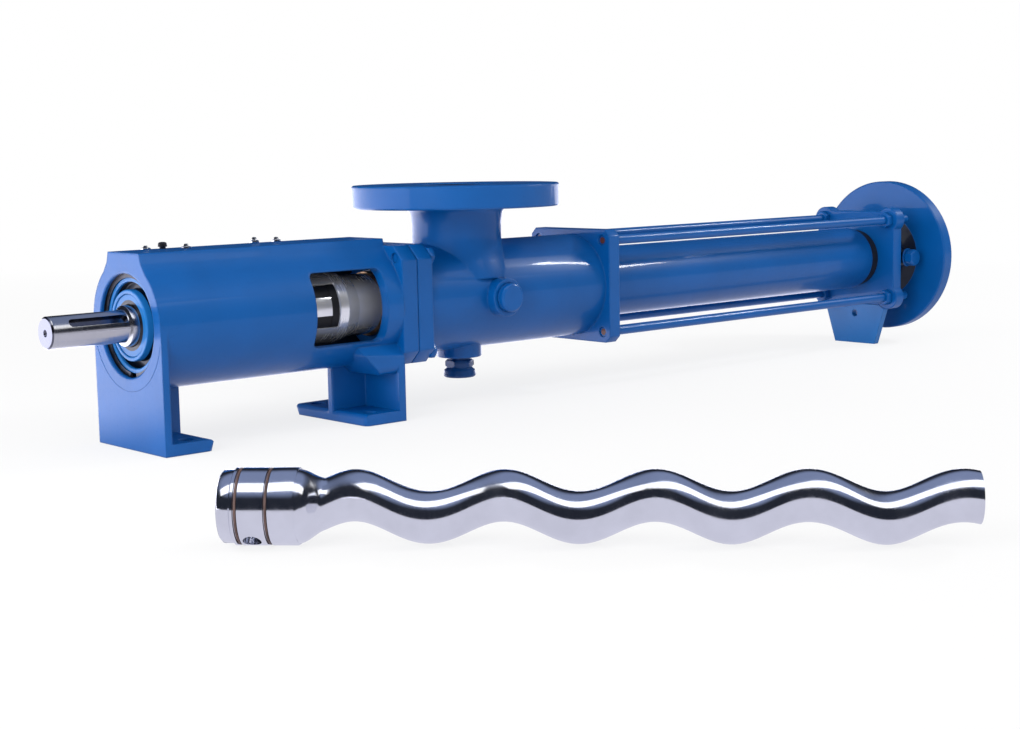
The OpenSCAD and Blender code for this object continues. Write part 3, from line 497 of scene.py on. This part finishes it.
BLUE = (0.0, 0.085, 0.322)
# A paler copy of the blue enamel: painted light standing in for the lavender glare on the bearing cover, the
# seal's painted ring and the end support
GLARE_PALE_BLUE = (0.01, 0.145, 0.44)
enamel_blue = enamel("blue_enamel", BLUE)
# The castings are dark inside: primer standing in as painted shade in the lantern, chamber, port and front
# groove
enamel_cast_shaded_inside = enamel("blue_enamel_castings_shaded_inside", BLUE, (0.004, 0.006, 0.012), primer_and_painted_shade_inside, 0.003)
enamel_seal = enamel("painted_seal_ring", GLARE_PALE_BLUE, (0.008, 0.008, 0.010), seal_lip)
enamel_cover_shaded_grooves = enamel("bearing_cover_shaded_grooves", GLARE_PALE_BLUE, (0.001, 0.004, 0.012), shaded_cover_grooves)
enamel_branch_shaded_neck = enamel("blue_enamel_branch_shaded_neck", BLUE, (0.0, 0.006, 0.024), shaded_branch_neck)
enamel_rods = enamel("blue_enamel_rods", BLUE, (0.10, 0.03, 0.02), rod_ends)
enamel_pale_glare = enamel("pale_blue_enamel", GLARE_PALE_BLUE)
enamel_dark = enamel("dark_blue_enamel", (0.003, 0.045, 0.17))
chrome = bright_metal("polished_chrome", (0.82, 0.83, 0.88), 0.11, 0.30, 0.10, lines=700.0)
polished = bright_metal("polished_steel", (0.60, 0.60, 0.62), 0.16, 0.40, 0.14, dull=sawn_end_and_keyway)
brushed = bright_metal("brushed_steel", (0.95, 0.95, 0.98), 0.20, 0.22, 0.10, metal=0.72)
machined = bright_metal("machined_steel", (0.46, 0.46, 0.47), 0.22, 0.80, 0.15)
bearing = bright_metal("bearing_steel", (0.58, 0.59, 0.61), 0.10, 0.30, 0.10)
dark_steel = dark_metal("dark_steel", (0.09, 0.09, 0.10))
bronze = dull_bronze("bronze", (0.42, 0.27, 0.15))
black_rubber = rubber("black_rubber", (0.010, 0.010, 0.012))
soft_rubber = rubber("coupling_rubber", (0.002, 0.002, 0.003))
brown_rubber = rubber("brown_rubber", (0.075, 0.045, 0.040))
packing = braid("packing_braid", (0.33, 0.30, 0.23))
# The gasket has the castings' paint over its edge
FINISHES = {
    "blue_enamel": enamel_blue, "pale_blue_enamel": enamel_pale_glare, "dark_blue_enamel": enamel_dark,
    "polished_chrome": chrome, "polished_steel": polished, "machined_steel": machined,
    "bearing_steel": bearing, "dark_steel": dark_steel, "bronze": bronze,
    "black_rubber": black_rubber, "packing_braid": packing, "gasket_fibre": enamel_blue,
}
for part in frame["record"]["subparts"]:
    node = frame["nodes"][part["node"]]
    node.data.materials.clear()
    node.data.materials.append(FINISHES[part["material_slot"]])


# ---------------------------------------------------------------- camera
def set_camera():
    yaw, down, roll = 0.84, 0.128, -0.019
    ahead = Vector((math.cos(yaw) * math.cos(down), math.sin(yaw) * math.cos(down), -math.sin(down)))
    right = Vector((math.sin(yaw), -math.cos(yaw), 0))
    up = right.cross(ahead)
    across = right * math.cos(roll) + up * math.sin(roll)
    upright = up * math.cos(roll) - right * math.sin(roll)
    data = bpy.data.cameras.new("camera")
    data.lens, data.sensor_width, data.sensor_fit = 59.35, 36.0, "HORIZONTAL"
    data.clip_end = 100.0
    camera = bpy.data.objects.new("camera", data)
    bpy.context.scene.collection.objects.link(camera)
    turn = Matrix((across, upright, -ahead)).transposed().to_4x4()
    camera.matrix_world = Matrix.Translation((-0.8961, -1.3723, 0.2696)) @ turn
    bpy.context.scene.camera = camera


set_camera()


# ---------------------------------------------------------------- drive casing
def square_flange(name, low_x, high_x, half, corner):
    flange = block(name, (low_x, -half, AXIS_H - half), (high_x, half, AXIS_H + half))
    round_edges(flange, X, corner, 1)
    return soften(flange, 0.6)


def drive_casing():
    casing = spun("casing_shell", [(FACE, 0), (FACE, 61), (CASING_FLANGE + 1, 61), (CASING_FLANGE + 1, 0)])
    crown = plate("crown", [(-28, CROWN_TOP), (-31, 172), (-56.2, 138.8), (56.2, 138.8), (31, 172),
                            (28, CROWN_TOP)], FACE, CASING_FLANGE + 1)
    front = block("front_plate", (FACE, -61, 0), (FACE + 7, 61, AXIS_H))
    front_foot = block("front_foot", (FACE + 5, -61, 0), (FACE + 50, 61, 11))
    front_web = block("front_web", (FACE + 5, -4, 0), (FACE + 50, 4, AXIS_H - 20))
    rear_foot = block("rear_foot", (REAR_FOOT, -60, 0), (REAR_FOOT_END, 60, 11))
    rear_web = block("rear_web", (REAR_FOOT, -4, 0), (REAR_FOOT_END, 4, 60))
    rear_wall = block("rear_wall", (REAR_FOOT_END - 8, -60, 0), (REAR_FOOT_END, 60, 65))
    saddle = block("saddle", (REAR_FOOT, -60, 48), (REAR_FOOT_END, 60, 78))
    round_edges(saddle, Y, 22, 1, lambda p: p.x < 90 and p.z < 50)
    round_edges(saddle, X, 12.5, 1, lambda p: p.z > 70)
    round_edges(saddle, X, 9, 5, lambda p: p.z < 50)
    round_edges(front_foot, Y, 4, 4, lambda p: p.x > FACE + 40 and p.z > 5)
    round_edges(front_foot, Z, 6, 4, lambda p: p.x > FACE + 40)
    round_edges(rear_foot, Y, 4, 4, lambda p: p.x < 100 and p.z > 5)
    round_edges(rear_foot, Z, 6, 4, lambda p: p.x < 100)
    soften(front_web, 1.2)
    soften(rear_web, 1.2)
    flange = square_flange("casing_flange", CASING_FLANGE, CASING_END, 60, 14)
    weld(casing, crown, flange, front, front_foot, front_web, saddle, rear_wall, rear_foot, rear_web)
    recess = spun("recess", [(FACE - 1, 0), (FACE - 1, 50), (FACE, 49.2), (FACE + 0.8, 48), (FACE + 5, 48),
                             (FACE + 5, 50), (FACE + 7, 50), (FACE + 7, 48), (FACE + 18, 48),
                             (FACE + 18, 45), (14, 45), (14, 29), (24, 29), (24, 0)])
    lantern = spun("lantern", [(23, 0), (23, 48.5), (24.5, 50), (CASING_END + 1, 50), (CASING_END + 1, 0)])
    window = round_edges(block("window", (34, -90, 82), (120, 90, 154)), Y, 6, 5)
    holes = [drill((x, y, -1), Z, 7, 14) for x in (-106, 106) for y in (-45, 45)]
    taps = [drill((CASING_FLANGE - 1, *at), X, 5, 21, 24) for at in corners(SCREWS_OUT)]
    cut(casing, recess, lantern, window, *holes, *taps)
    return finished(casing, "casing", "blue_enamel", enamel_cast_shaded_inside, "drive_casing")


def weld_line():
    """The faint bead where the round body meets the front plate below the shaft."""
    bead = spun("body_weld_line", [(FACE + 0.4, 60.2), (FACE - 0.25, 60.6), (FACE + 0.4, 61.0)], closed=True)
    keep = block("keep", (FACE - 5, -59, 50), (FACE + 5, 59, 100))
    combine(bead, [keep], "INTERSECT")
    return finished(bead, "casing", "blue_enamel", enamel_blue)


# ---------------------------------------------------------------- bearing cover and crown fittings
def bearing_cover():
    cover = spun("bearing_cover_turned", [
        (-123, 21), (-123, 29), (-133, 29), (-133, 33), (-121, 33), (-121, 40), (-129.5, 40),
        (-129.5, 44.6), (-121, 44.6), (-121, 47.9), (-118.1, 47.9), (-118.1, 21)], closed=True)
    soften(cover, 0.9)
    return finished(cover, "casing", "pale_blue_enamel", enamel_cover_shaded_grooves, "front_bearing_cover")


def lip_seal():
    seal = spun("lip_seal_moulded", [
        (-132, 19.5), (-132, 28.9), (-123.1, 28.9), (-123.1, 26), (-129, 26), (-129, 22.2),
        (-124.5, 22.2), (-124.5, 20.4), (-130.5, 19.6)], closed=True)
    soften(seal, 0.4, 1)
    return finished(seal, "casing", "black_rubber", enamel_seal, "front_oil_seal")


def nipple(x, y, height):
    base = hexagon("grease_nipple", 8.2, (x, y, CROWN_TOP), Z, height / 2)
    stem = spun("stem", [(-3, 0), (-3, 2.9), (0, 2.9), (height - 3, 2.0), (height - 1.8, 2.4),
                         (height - 0.5, 2.0), (height, 1.0), (height, 0)], (x, y, CROWN_TOP), Z, 32)
    return join(base, stem)


def crown_fittings():
    nipples = join(*(nipple(*place) for place in ((-102, 18, 4), (-72, -4, 5), (19, 20, 6), (44, 19, 5))))
    nipples.name = "grease_nipples_fitted"
    finished(nipples, "casing", "bearing_steel", bearing, "grease_nipples")
    vent = spun("breather_cap", [(0, 0), (0, 3.0), (2, 3.0), (2, 4.0), (2.4, 4.4), (5.2, 4.0), (6.0, 3.2),
                                 (6.4, 2.0), (6.4, 0)], (-83, 20, CROWN_TOP), Z, 48)
    finished(vent, "casing", "dark_steel", dark_steel, "breather")


# ---------------------------------------------------------------- shaft and coupling
def drive_shaft():
    shaft = spun("drive_shaft_turned", [
        (-216, 0), (-216, 13.2), (-214.2, 15), (-141, 15), (-140.2, 15.4), (-139, 18.6), (-138.4, 19),
        (-118, 19), (-118, 20), (6, 20), (7, 18), (31.5, 18), (31.5, 0)])
    centre = spun("centre_hole", [(-217, 0), (-217, 4.4), (-216, 3.4), (-213.6, 1.4), (-209, 1.4), (-208, 0)],
                  steps=32)
    cut(shaft, centre, keyway_tool())
    return finished(shaft, "drive_shaft", "polished_steel", polished, "drive_shaft")


def keyway_tool():
    """A round-ended block that leaves the keyway on the near upper side of the shaft."""
    tool = block("keyway", (-199, -4, AXIS_H + 11), (-141, 4, AXIS_H + 18))
    round_edges(tool, Z, 3.98, 8)
    turn = Matrix.Translation((0, 0, AXIS_H * MM)) @ Matrix.Rotation(math.radians(55), 4, "X")
    tool.data.transform(turn @ Matrix.Translation((0, 0, -AXIS_H * MM)))
    return tool


def jaws(name, low_x, high_x, outer, half_angle, first):
    """Three jaws cut from a thick ring, the first at an angle up from the near side."""
    ring = spun(name, [(low_x, 25), (low_x, outer), (high_x, outer), (high_x, 25)], closed=True)
    spread = math.radians(half_angle)
    wedges = []
    for side in range(3):
        points = [(0, AXIS_H)]
        for angle in (-spread, -spread / 2, 0, spread / 2, spread):
            at = math.radians(180 - first) + side * 2 * math.pi / 3 + angle
            points.append((60 * math.cos(at), AXIS_H + 60 * math.sin(at)))
        wedges.append(plate("wedge", points, low_x - 1, high_x + 1))
    return combine(ring, [join(*wedges)], "INTERSECT")


def drive_half():
    disc = spun("drive_jaw_turned", [(24.5, 18.1), (24.5, 35.2), (25.3, 36), (32.5, 36), (32.5, 18.1)],
                closed=True)
    soften(weld(disc, jaws("drive_jaws", 31.5, 70, 36, 15, 7)), 0.8)
    return finished(disc, "drive_shaft", "polished_steel", brushed, "drive_jaw")


def driven_half():
    hub = spun("driven_jaw_turned", [
        (79, 18.1), (79, 33.4), (80.6, 35.6), (81.6, 36), (90.5, 36), (107, 31), (135, 31),
        (135.7, 30.4), (135.7, 18.1)], closed=True)
    soften(weld(hub, jaws("driven_jaws", 34, 80, 36, 22.5, 68.5)), 0.8)
    return finished(hub, "drive_shaft", "polished_steel", brushed, "driven_jaw", angle=12)


def coupling_spider():
    """The rubber star between the jaws of both coupling halves."""
    core = spun("coupling_spider", [(33, 0), (33, 24.5), (78.9, 24.5), (78.9, 0)], steps=64)
    legs = [jaws("legs", 33, 71, 34.8, 10.2, first) for first in (34, -18.5)]
    soften(weld(core, *legs, jaws("web", 70.4, 78.9, 35.2, 36.5, 8.5)), 0.4, 1)
    return finished(core, "drive_shaft", "black_rubber", soft_rubber)


def gland_ring():
    ring = spun("gland_turned", [(136, 18.4), (136, 32.4), (136.8, 33), (142.9, 33), (142.9, 25.9),
                                 (148, 25.9), (148, 18.4)], closed=True)
    return finished(ring, "casing", "bronze", bronze, "gland")


def stuffing_box():
    box = spun("stuffing_box_cast", [
        (143, 26), (143, 34), (144, 35), (150, 35), (150, 49.9), (158, 49.9), (158, 40), (178, 40),
        (178, 18.4), (173, 18.4), (173, 26)], closed=True)
    return finished(box, "casing", "blue_enamel", enamel_blue, "stuffing_box")


# ---------------------------------------------------------------- suction housing
def port_neck():
    return spun("port_neck", [
        (20, 0), (20, 57), (30, 55), (38, 51.5), (46, 49), (56, 47.8), (66, 47.6), (78, 48), (88, 49.4),
        (92, 51.6), (94, 55), (94, 108.6), (95.4, 110), (116.6, 110), (118, 108.6), (118, 0)],
        (PORT, 0, AXIS_H), Z)


def bolt_holes(centre, along, circle, radius, depth):
    """Eight holes round a flange, none of them on its centre lines."""
    side = X if abs(along.z) > 0.5 else Y
    other = along.cross(side)
    found = []
    for i in range(8):
        at = (i + 0.5) * math.pi / 4
        place = Vector(centre) + (side * math.cos(at) + other * math.sin(at)) * circle / 2
        found.append(drill(place, along, radius, depth))
    return join(*found)


def suction_housing():
    body = spun("suction_housing_cast", [(SUCTION + 1, 0), (SUCTION + 1, 57), (SUCTION_END - 1, 57),
                                         (SUCTION_END - 1, 0)])
    front = square_flange("front_flange", SUCTION, SUCTION + 19, 60, 14)
    rear = square_flange("rear_flange", REAR_FLANGE, SUCTION_END, 63, 7)
    side = spun("side_boss", [(-68, 0), (-68, 19.4), (-67.4, 20), (67.4, 20), (68, 19.4), (68, 0)],
                (PORT + 12, 0, AXIS_H), Y, 64)
    drain = spun("drain_boss", [(49, 0), (49, 23), (50, 24), (100, 24), (100, 0)], (PORT, 0, 0), Z, 64)
    weld(body, front, rear, port_neck(), side, drain)
    cavity = spun("cavity", [(SUCTION - 1, 0), (SUCTION - 1, 40), (SUCTION + 19, 40), (SUCTION + 19, 48),
                             (424, 48), (426, 35), (SUCTION_END + 1, 35), (SUCTION_END + 1, 0)])
    port = spun("port", [(AXIS_H, 0), (AXIS_H, 40), (231.8, 40), (234, 42), (234, 0)], (PORT, 0, 0), Z)
    plugs = drill((PORT + 12, -70, AXIS_H), Y, 15, 140, 48)
    tapped = drill((PORT, 0, 40), Z, 13, 60)
    screws = [drill((SUCTION - 1, *at), X, 5, 21, 24) for at in corners(SCREWS_OUT)]
    rods = [drill((REAR_FLANGE - 1, *at), X, 5.5, 18, 24) for at in corners(RODS_OUT)]
    cut(body, cavity, port, bolt_holes((PORT, 0, 208), Z, 180, 9, 26), plugs, tapped, *screws, *rods)
    return finished(body, "casing", "blue_enamel", enamel_cast_shaded_inside, "suction_housing")


def port_face():
    """Gasket rings turned into the raised face of the suction port."""
    ring = spun("port_gasket_rings", [
        (232.6, 45), (233.02, 45), (233.02, 54), (232.6, 54.4), (233.02, 54.8), (233.02, 63),
        (232.6, 63.4), (233.02, 63.8), (233.02, 73), (232.6, 73.4), (232.2, 73.4), (232.2, 45)],
        (PORT, 0, 0), Z, closed=True)
    return finished(ring, "casing", "blue_enamel", enamel_blue)


def side_plugs():
    plugs = join(*(spun("inspection_plugs_turned", [
        (48, 0), (48, 14.9), (68.6, 14.9), (69.0, 14.2), (69.6, 14.2), (70.0, 15), (74, 15),
        (75.6, 13.6), (76, 12.6), (76, 0)], (PORT + 12, 0, AXIS_H), Y * side, 64) for side in (-1, 1)))
    return finished(plugs, "casing", "blue_enamel", enamel_blue, "inspection_plugs")


def drain_plug():
    plug = spun("drain_plug_turned", [(67, 0), (67, 12.9), (49, 12.9), (49, 12.2), (40, 12.2), (36.4, 14.2),
                                      (34.4, 16.6), (29, 17.5), (27.6, 16.8), (27, 15.8), (27, 0)],
                (PORT, 0, 0), Z, 64)
    head = hexagon("drain_hex", 27, (PORT, 0, 37), Z, 9)
    weld(plug, head)
    return finished(plug, "casing", "dark_blue_enamel", enamel_dark, "drain_plug")


def flange_screws():
    screws = []
    for at in corners(SCREWS_OUT):
        head = hexagon("flange_screws_driven", 16, (SUCTION + 19, *at), X, 7, math.radians(30))
        shank = spun("shank", [(141, 0), (141, 5), (178, 5), (178, 0)], (0, *at), steps=24)
        screws.append(join(head, shank))
    return finished(join(*screws), "casing", "blue_enamel", enamel_blue, "flange_screws")


# ---------------------------------------------------------------- stator and tie rods
def stator_tube():
    tube = spun("stator_tube_drawn", [
        (447, 37), (447, 39.4), (447.6, 40), (943, 40), (946.6, 38.9), (948, 37)], closed=True)
    return finished(tube, "casing", "blue_enamel", enamel_blue, "stator_tube")


def tie_rods():
    profile = [(429.5, 0), (429.5, 4.9), (430.1, 5.5), (1001, 5.5), (1002, 4.6), (1002, 0)]
    rods = join(*(spun("tie_rods_drawn", profile, (0, *at), steps=48) for at in corners(RODS_OUT)))
    return finished(rods, "casing", "blue_enamel", enamel_rods, "tie_rods")


def tie_rod_nuts():
    nuts = []
    for at in corners(RODS_OUT):
        for x in (END_PLATE - 9, BRANCH):
            nut = hexagon("tie_rod_nuts_tight", 18, (x, *at), X, 9)
            nuts.append(cut(nut, drill((x - 1, *at), X, 5.52, 11, 24)))
    return finished(join(*nuts), "casing", "blue_enamel", enamel_blue, "tie_rod_nuts")


def end_plate():
    body = block("end_plate_cast", (END_PLATE, -62, AXIS_H - 62), (BRANCH, 62, AXIS_H + 62))
    round_edges(body, X, 14, 1)
    soften(body, 1.2)
    lug = [(END_PLATE, 0), (END_PLATE, 15), (END_PLATE + 1, 16), (BRANCH - 1, 16), (BRANCH, 15), (BRANCH, 0)]
    weld(body, *(spun("lug", lug, (0, *at), steps=64) for at in corners(RODS_OUT)))
    holes = [drill((END_PLATE - 1, *at), X, 5.5, 19, 24) for at in corners(RODS_OUT)]
    # The bore is a little less than the branch's, so that the stator's rubber end covers its edge
    cut(body, drill((END_PLATE - 1, 0, AXIS_H), X, DISCHARGE_R - 2, 19, STEPS), *holes)
    return finished(body, "casing", "blue_enamel", enamel_blue, "end_plate")


def end_support():
    foot = plate("end_support_cut", [(-32, 0), (32, 0), (47, 47), (47, 53), (-47, 53), (-47, 47)],
                 END_PLATE, END_PLATE + 9)
    lugs = [drill((END_PLATE - 1, y, AXIS_H - RODS_OUT), X, 16.02, 11, 64) for y in (-RODS_OUT, RODS_OUT)]
    cut(foot, drill((END_PLATE - 1, 0, 40), X, 4.5, 11, 32), *lugs)
    return finished(foot, "casing", "pale_blue_enamel", enamel_pale_glare, "end_support")


def discharge_branch():
    body = spun("discharge_branch_cast", [
        (BRANCH, DISCHARGE_R), (BRANCH, 44.5), (1003, 44.5), (1009, 46), (1015, 50), (1019, 54.6), (1021, 57),
        (1021, 98.6), (1022.4, 100), (1037.6, 100), (1039, 98.6), (1039, 69.4), (1041, 68.6),
        (1041, DISCHARGE_R)], closed=True)
    boss = spun("boss", [(20, 0), (20, 12), (58.4, 12), (59, 11.4), (59, 0)], (998, 0, AXIS_H), -Y, 48)
    weld(body, boss)
    bore = drill((BRANCH - 1, 0, AXIS_H), X, DISCHARGE_R, 66, STEPS)
    cut(body, bore, bolt_holes((1025, 0, AXIS_H), X, 160, 8, 17), drill((998, 0, AXIS_H), -Y, 7, 62))
    return finished(body, "casing", "blue_enamel", enamel_branch_shaded_neck, "discharge_branch")


def branch_plug():
    head = hexagon("branch_plug_fitted", 19, (998, -59, AXIS_H), -Y, 12)
    shank = spun("shank", [(40, 0), (40, 7), (59, 7), (59, 0)], (998, 0, AXIS_H), -Y, 32)
    weld(head, shank)
    return finished(head, "casing", "blue_enamel", enamel_blue, "branch_plug")


# ---------------------------------------------------------------- rotors and coupling rod
def rotor_screw(name, length):
    """Carries the round section from the head's end down its cone and then round its screw."""
    steps = round(length / ROTOR_PITCH * 26)
    deselect()
    bpy.ops.mesh.primitive_circle_add(vertices=48, radius=26 * MM, fill_type="NGON",
                                      location=(0, 0, 50 * MM))
    piece = settle(bpy.context.active_object)
    piece.name = piece.data.name = name
    edit(piece)
    bpy.ops.mesh.select_mode(type="FACE")
    bpy.ops.mesh.select_all(action="SELECT")
    before, size = Vector((0, 0, 50)), 26.0
    cone = [(54, 0, 25.8), (57, 0.4, 24.9), (60, 1.4, 23.4), (63, 3.0, 21.4), (66, 5.2, 19.5),
            (68.5, 6.9, 18.4), (70, ROTOR_E, ROTOR_D / 2)]
    for station, aside, radius in cone:
        after = Vector((aside, 0, station))
        bpy.ops.mesh.extrude_region_move(TRANSFORM_OT_translate={"value": (after - before) * MM})
        bpy.ops.transform.resize(value=(radius / size, radius / size, 1), center_override=after * MM)
        before, size = after, radius
    for i in range(1, steps + 1):
        along = length * i / steps
        at = 2 * math.pi * along / ROTOR_PITCH
        after = Vector((ROTOR_E * math.cos(at), ROTOR_E * math.sin(at), 70 + along))
        bpy.ops.mesh.extrude_region_move(TRANSFORM_OT_translate={"value": (after - before) * MM})
        before = after
    return close_up(piece)


def rotor_shape(name, length, hole_at, hole_r, hole_way):
    """Whole rotor from its head end along local z: grooved head, cone, screw and cross hole."""
    head = spun(name, [
        (0, 0), (0, 24), (1.5, 25.5), (9, 25.5), (10, HEAD_R), (12, HEAD_R), (12.2, 25.5), (14.8, 25.5),
        (15, HEAD_R), (33, HEAD_R), (33.2, 25.5), (35.8, 25.5), (36, HEAD_R), (53, HEAD_R), (54, 26.4),
        (54, 0)], (0, 0, 0), Z)
    weld(head, rotor_screw("screw", length))
    socket = spun("socket", [(-1, 0), (-1, 19), (4.6, 19), (4.6, 15.3), (12, 15.3), (17, 14.4), (22, 11.6),
                             (26, 6.6), (27.3, 0)], (0, 0, 0), Z, 64)
    cross = drill(hole_way * -40 + Z * hole_at, hole_way, hole_r, 80)
    return cut(head, socket, cross)


# Turns a rotor's own line, which is local z, along the pump's axis
LAID_ALONG = Euler((math.pi / 2, 0, math.pi / 2), "XYZ").to_matrix().to_4x4()


def working_rotor():
    piece = rotor_shape("rotor_polished", 536, 33.5, 5, Y)
    piece.data.transform(Matrix.Translation(Vector((ROTOR_HEAD, 0, AXIS_H - ROTOR_E)) * MM) @ LAID_ALONG)
    return finished(piece, "rotor", "polished_chrome", chrome, "rotor", angle=50)


def spare_place():
    """Where the loose rotor lies: on its head and on the last crest of its screw."""
    tip = math.asin((HEAD_R - ROTOR_D / 2 - ROTOR_E) / SPARE_LENGTH)
    place = Matrix.Translation(Vector((-281, -386, HEAD_R * math.cos(tip))) * MM)
    place = place @ Matrix.Rotation(math.radians(-46.5), 4, "Z") @ Matrix.Rotation(tip, 4, "Y")
    return place @ LAID_ALONG


def spare_rotor():
    piece = rotor_shape("spare_rotor_polished", SPARE_LENGTH - 70, 23, 6.5, Vector((0.616, 0.788, 0)))
    piece.data.transform(spare_place())
    return finished(piece, "casing", "polished_chrome", chrome, "spare_rotor", angle=50)


def spare_rotor_seals():
    """Brown seal rings in the two grooves of the loose rotor's head."""
    rings = [spun("spare_rotor_seals", [(a, 25.6), (a + 0.3, 26.5), (a + 1.8, 26.5), (a + 2.1, 25.6)],
                  (0, 0, 0), Z, closed=True) for a in (12.45, 33.45)]
    ring = join(*rings)
    ring.data.transform(spare_place())
    return finished(ring, "casing", "polished_chrome", brown_rubber)


# The coupling rod's own line, from its drive ball to its rotor ball
ROD_TILT = math.asin(ROTOR_E / (ROTOR_BALL - DRIVE_BALL))
ROD_LENGTH = (ROTOR_BALL - DRIVE_BALL) / math.cos(ROD_TILT)
ROD_PLACE = (Matrix.Translation(Vector((DRIVE_BALL, 0, AXIS_H)) * MM)
             @ Matrix.Rotation(math.pi / 2 + ROD_TILT, 4, "Y"))


def coupling_rod():
    ball = [(15 * math.cos(math.radians(a)), 15 * math.sin(math.radians(a))) for a in range(0, 143, 10)]
    profile = [(-d, r) for d, r in ball] + [(15, 9), (ROD_LENGTH - 15, 9)]
    profile += [(ROD_LENGTH + d, r) for d, r in reversed(ball)]
    rod = spun("coupling_rod_turned", profile, (0, 0, 0), Z, 64)
    rod.data.transform(ROD_PLACE)
    return finished(rod, "coupling_rod", "machined_steel", machined, "coupling_rod")


def boot(name, way, node):
    """A bellows boot over the mouth of a joint head, at the rod's start or, way -1, at its end."""
    mouth = HEAD_R + 1.4
    profile = [
        (-8, mouth), (-8, mouth + 2.5), (-5, mouth + 3), (2, mouth + 2.5), (6, mouth - 1.6), (8, mouth - 3),
        (10.5, mouth - 1.6), (13, mouth), (16, mouth - 2.6), (19, mouth - 6), (21.5, mouth - 5.4),
        (24, mouth - 4), (26, 16.5), (28, 12.6), (36, 11.6), (36, 9.1), (27, 9.1), (23, mouth - 6.5),
        (18, mouth - 8.5), (13, mouth - 2.5), (8, mouth - 5.5), (1, mouth)]
    cup = spun(name, profile, (0, 0, 0), Z, 64, closed=True)
    flip = Matrix.Rotation(math.pi, 4, "X") if way < 0 else Matrix.Identity(4)
    offset = Matrix.Translation((0, 0, (ROD_LENGTH * (way < 0) + 12 * way) * MM))
    cup.data.transform(ROD_PLACE @ offset @ flip)
    return finished(cup, "coupling_rod", "black_rubber", black_rubber, node, angle=60)


def joint_head():
    head = spun("drive_joint_head_turned", [
        (180, 0), (180, 24), (183, HEAD_R), (225.4, HEAD_R), (226, 26.4), (226, 19), (219, 19),
        (219, 15.3), (214, 15.3), (207, 13.6), (201, 8), (198.8, 0)])
    return finished(head, "drive_shaft", "machined_steel", machined, "drive_joint_head")


for make in (drive_casing, weld_line, bearing_cover, lip_seal, crown_fittings, drive_shaft, drive_half,
             driven_half, coupling_spider, gland_ring, stuffing_box, suction_housing, port_face, side_plugs,
             drain_plug, flange_screws, stator_tube, tie_rods, tie_rod_nuts, end_plate, end_support,
             discharge_branch, branch_plug, working_rotor, spare_rotor, spare_rotor_seals, coupling_rod):
    make()
boot("drive_joint_boot_moulded", 1, "drive_joint_boot")
boot("rotor_joint_boot_moulded", -1, "rotor_joint_boot")
joint_head()


# ---------------------------------------------------------------- studio
def floor():
    """A white table. Reflections see it lavender and brighter behind the pump: a painted pool of light there,
    as if a lamp shone on it.
    """
    deselect()
    bpy.ops.mesh.primitive_circle_add(vertices=96, radius=30, fill_type="NGON", location=(0, 0, -0.0005))
    piece = settle(bpy.context.active_object)
    piece.name = "studio_floor"
    material, wire, place, _ = new_finish("studio_floor")
    camera, glossy, through = wire.path()
    seen = wire.maths("MINIMUM", camera + glossy + through, 1.0)
    far = wire.node("ShaderNodeVectorMath", {"operation": "LENGTH"}, {0: place}, 1)
    spread = wire.maths("MINIMUM", far * 0.10 + 0.74, 1.0)
    # Painted light: a pool of emission, brighter towards +y behind the pump, that only reflections see
    lamp = place.axis(1).ease(0.0, 0.30, 0.80, 4.6)
    lit = wire.node("ShaderNodeBsdfDiffuse", {}, {"Color": (0.82, 0.82, 0.83, 1)})
    # Painted reflection: reflections see the table lavender, while the camera sees it white
    shine = glossy.blend((1, 1, 1, 1), (0.86, 0.86, 1.0, 1))
    strength = glossy * (lamp - 1.0) + 1.0
    white = wire.node("ShaderNodeEmission", {}, {"Color": shine, "Strength": strength})
    both = wire.node("ShaderNodeMixShader", {}, {0: (seen * spread).either(glossy), 1: lit, 2: white})
    wire.node("ShaderNodeOutputMaterial", {}, {"Surface": both})
    piece.data.materials.append(material)


def backdrop():
    """A white surround. What shines back from the pump is a dark rim below a grey ceiling."""
    world = bpy.data.worlds.new("studio")
    bpy.context.scene.world = world
    world.use_nodes = True
    tree = world.node_tree
    tree.nodes.clear()
    wire = Wire(tree)
    camera, glossy, through = wire.path()
    direction = wire.node("ShaderNodeTexCoord", {}, {}, 0)
    up = direction.axis(2)
    ceiling = up.ease(0.52, 0.80, 0.03, 0.42)
    around = up.ease(0.25, 0.85, 0.78, 0.42)
    plain = wire.maths("MINIMUM", camera + through, 1.0)
    open_white = plain * (1 - around) + around
    strength = glossy * (ceiling - open_white) + open_white
    shine = glossy.blend((1, 1, 1, 1), (0.50, 0.62, 1.0, 1))
    light = wire.node("ShaderNodeBackground", {}, {"Color": shine, "Strength": strength})
    wire.node("ShaderNodeOutputWorld", {}, {"Surface": light})


def softbox(name, place, target, width, height, watts, shines_back=True):
    """A soft lamp. One that doesn't shine back isn't seen in the steel and the enamel."""
    data = bpy.data.lights.new(name, "AREA")
    data.shape, data.size, data.size_y = "RECTANGLE", width, height
    data.energy = watts
    lamp = bpy.data.objects.new(name, data)
    bpy.context.scene.collection.objects.link(lamp)
    lamp.location = place
    lamp.rotation_mode = "QUATERNION"
    lamp.rotation_quaternion = (Vector(target) - Vector(place)).to_track_quat("-Z", "Y")
    lamp.visible_camera = False
    lamp.visible_glossy = shines_back


floor()
backdrop()
softbox("front_strip", (-0.37, -1.25, 2.2), (0.3, -0.35, 0.0), 6.0, 1.2, 31)
softbox("side_strip", (2.15, -0.80, 1.27), (0.56, 0.0, 0.12), 0.6, 0.14, 16)
softbox("left_low", (-1.7, -0.5, 0.6), (0.2, 0, 0.1), 1.4, 1.0, 24, False)
softbox("back_left", (-1.9, 1.9, 1.3), (-0.1, 0.2, 0.1), 2.0, 2.0, 26, False)
bpy.context.scene.view_settings.view_transform = "Standard"
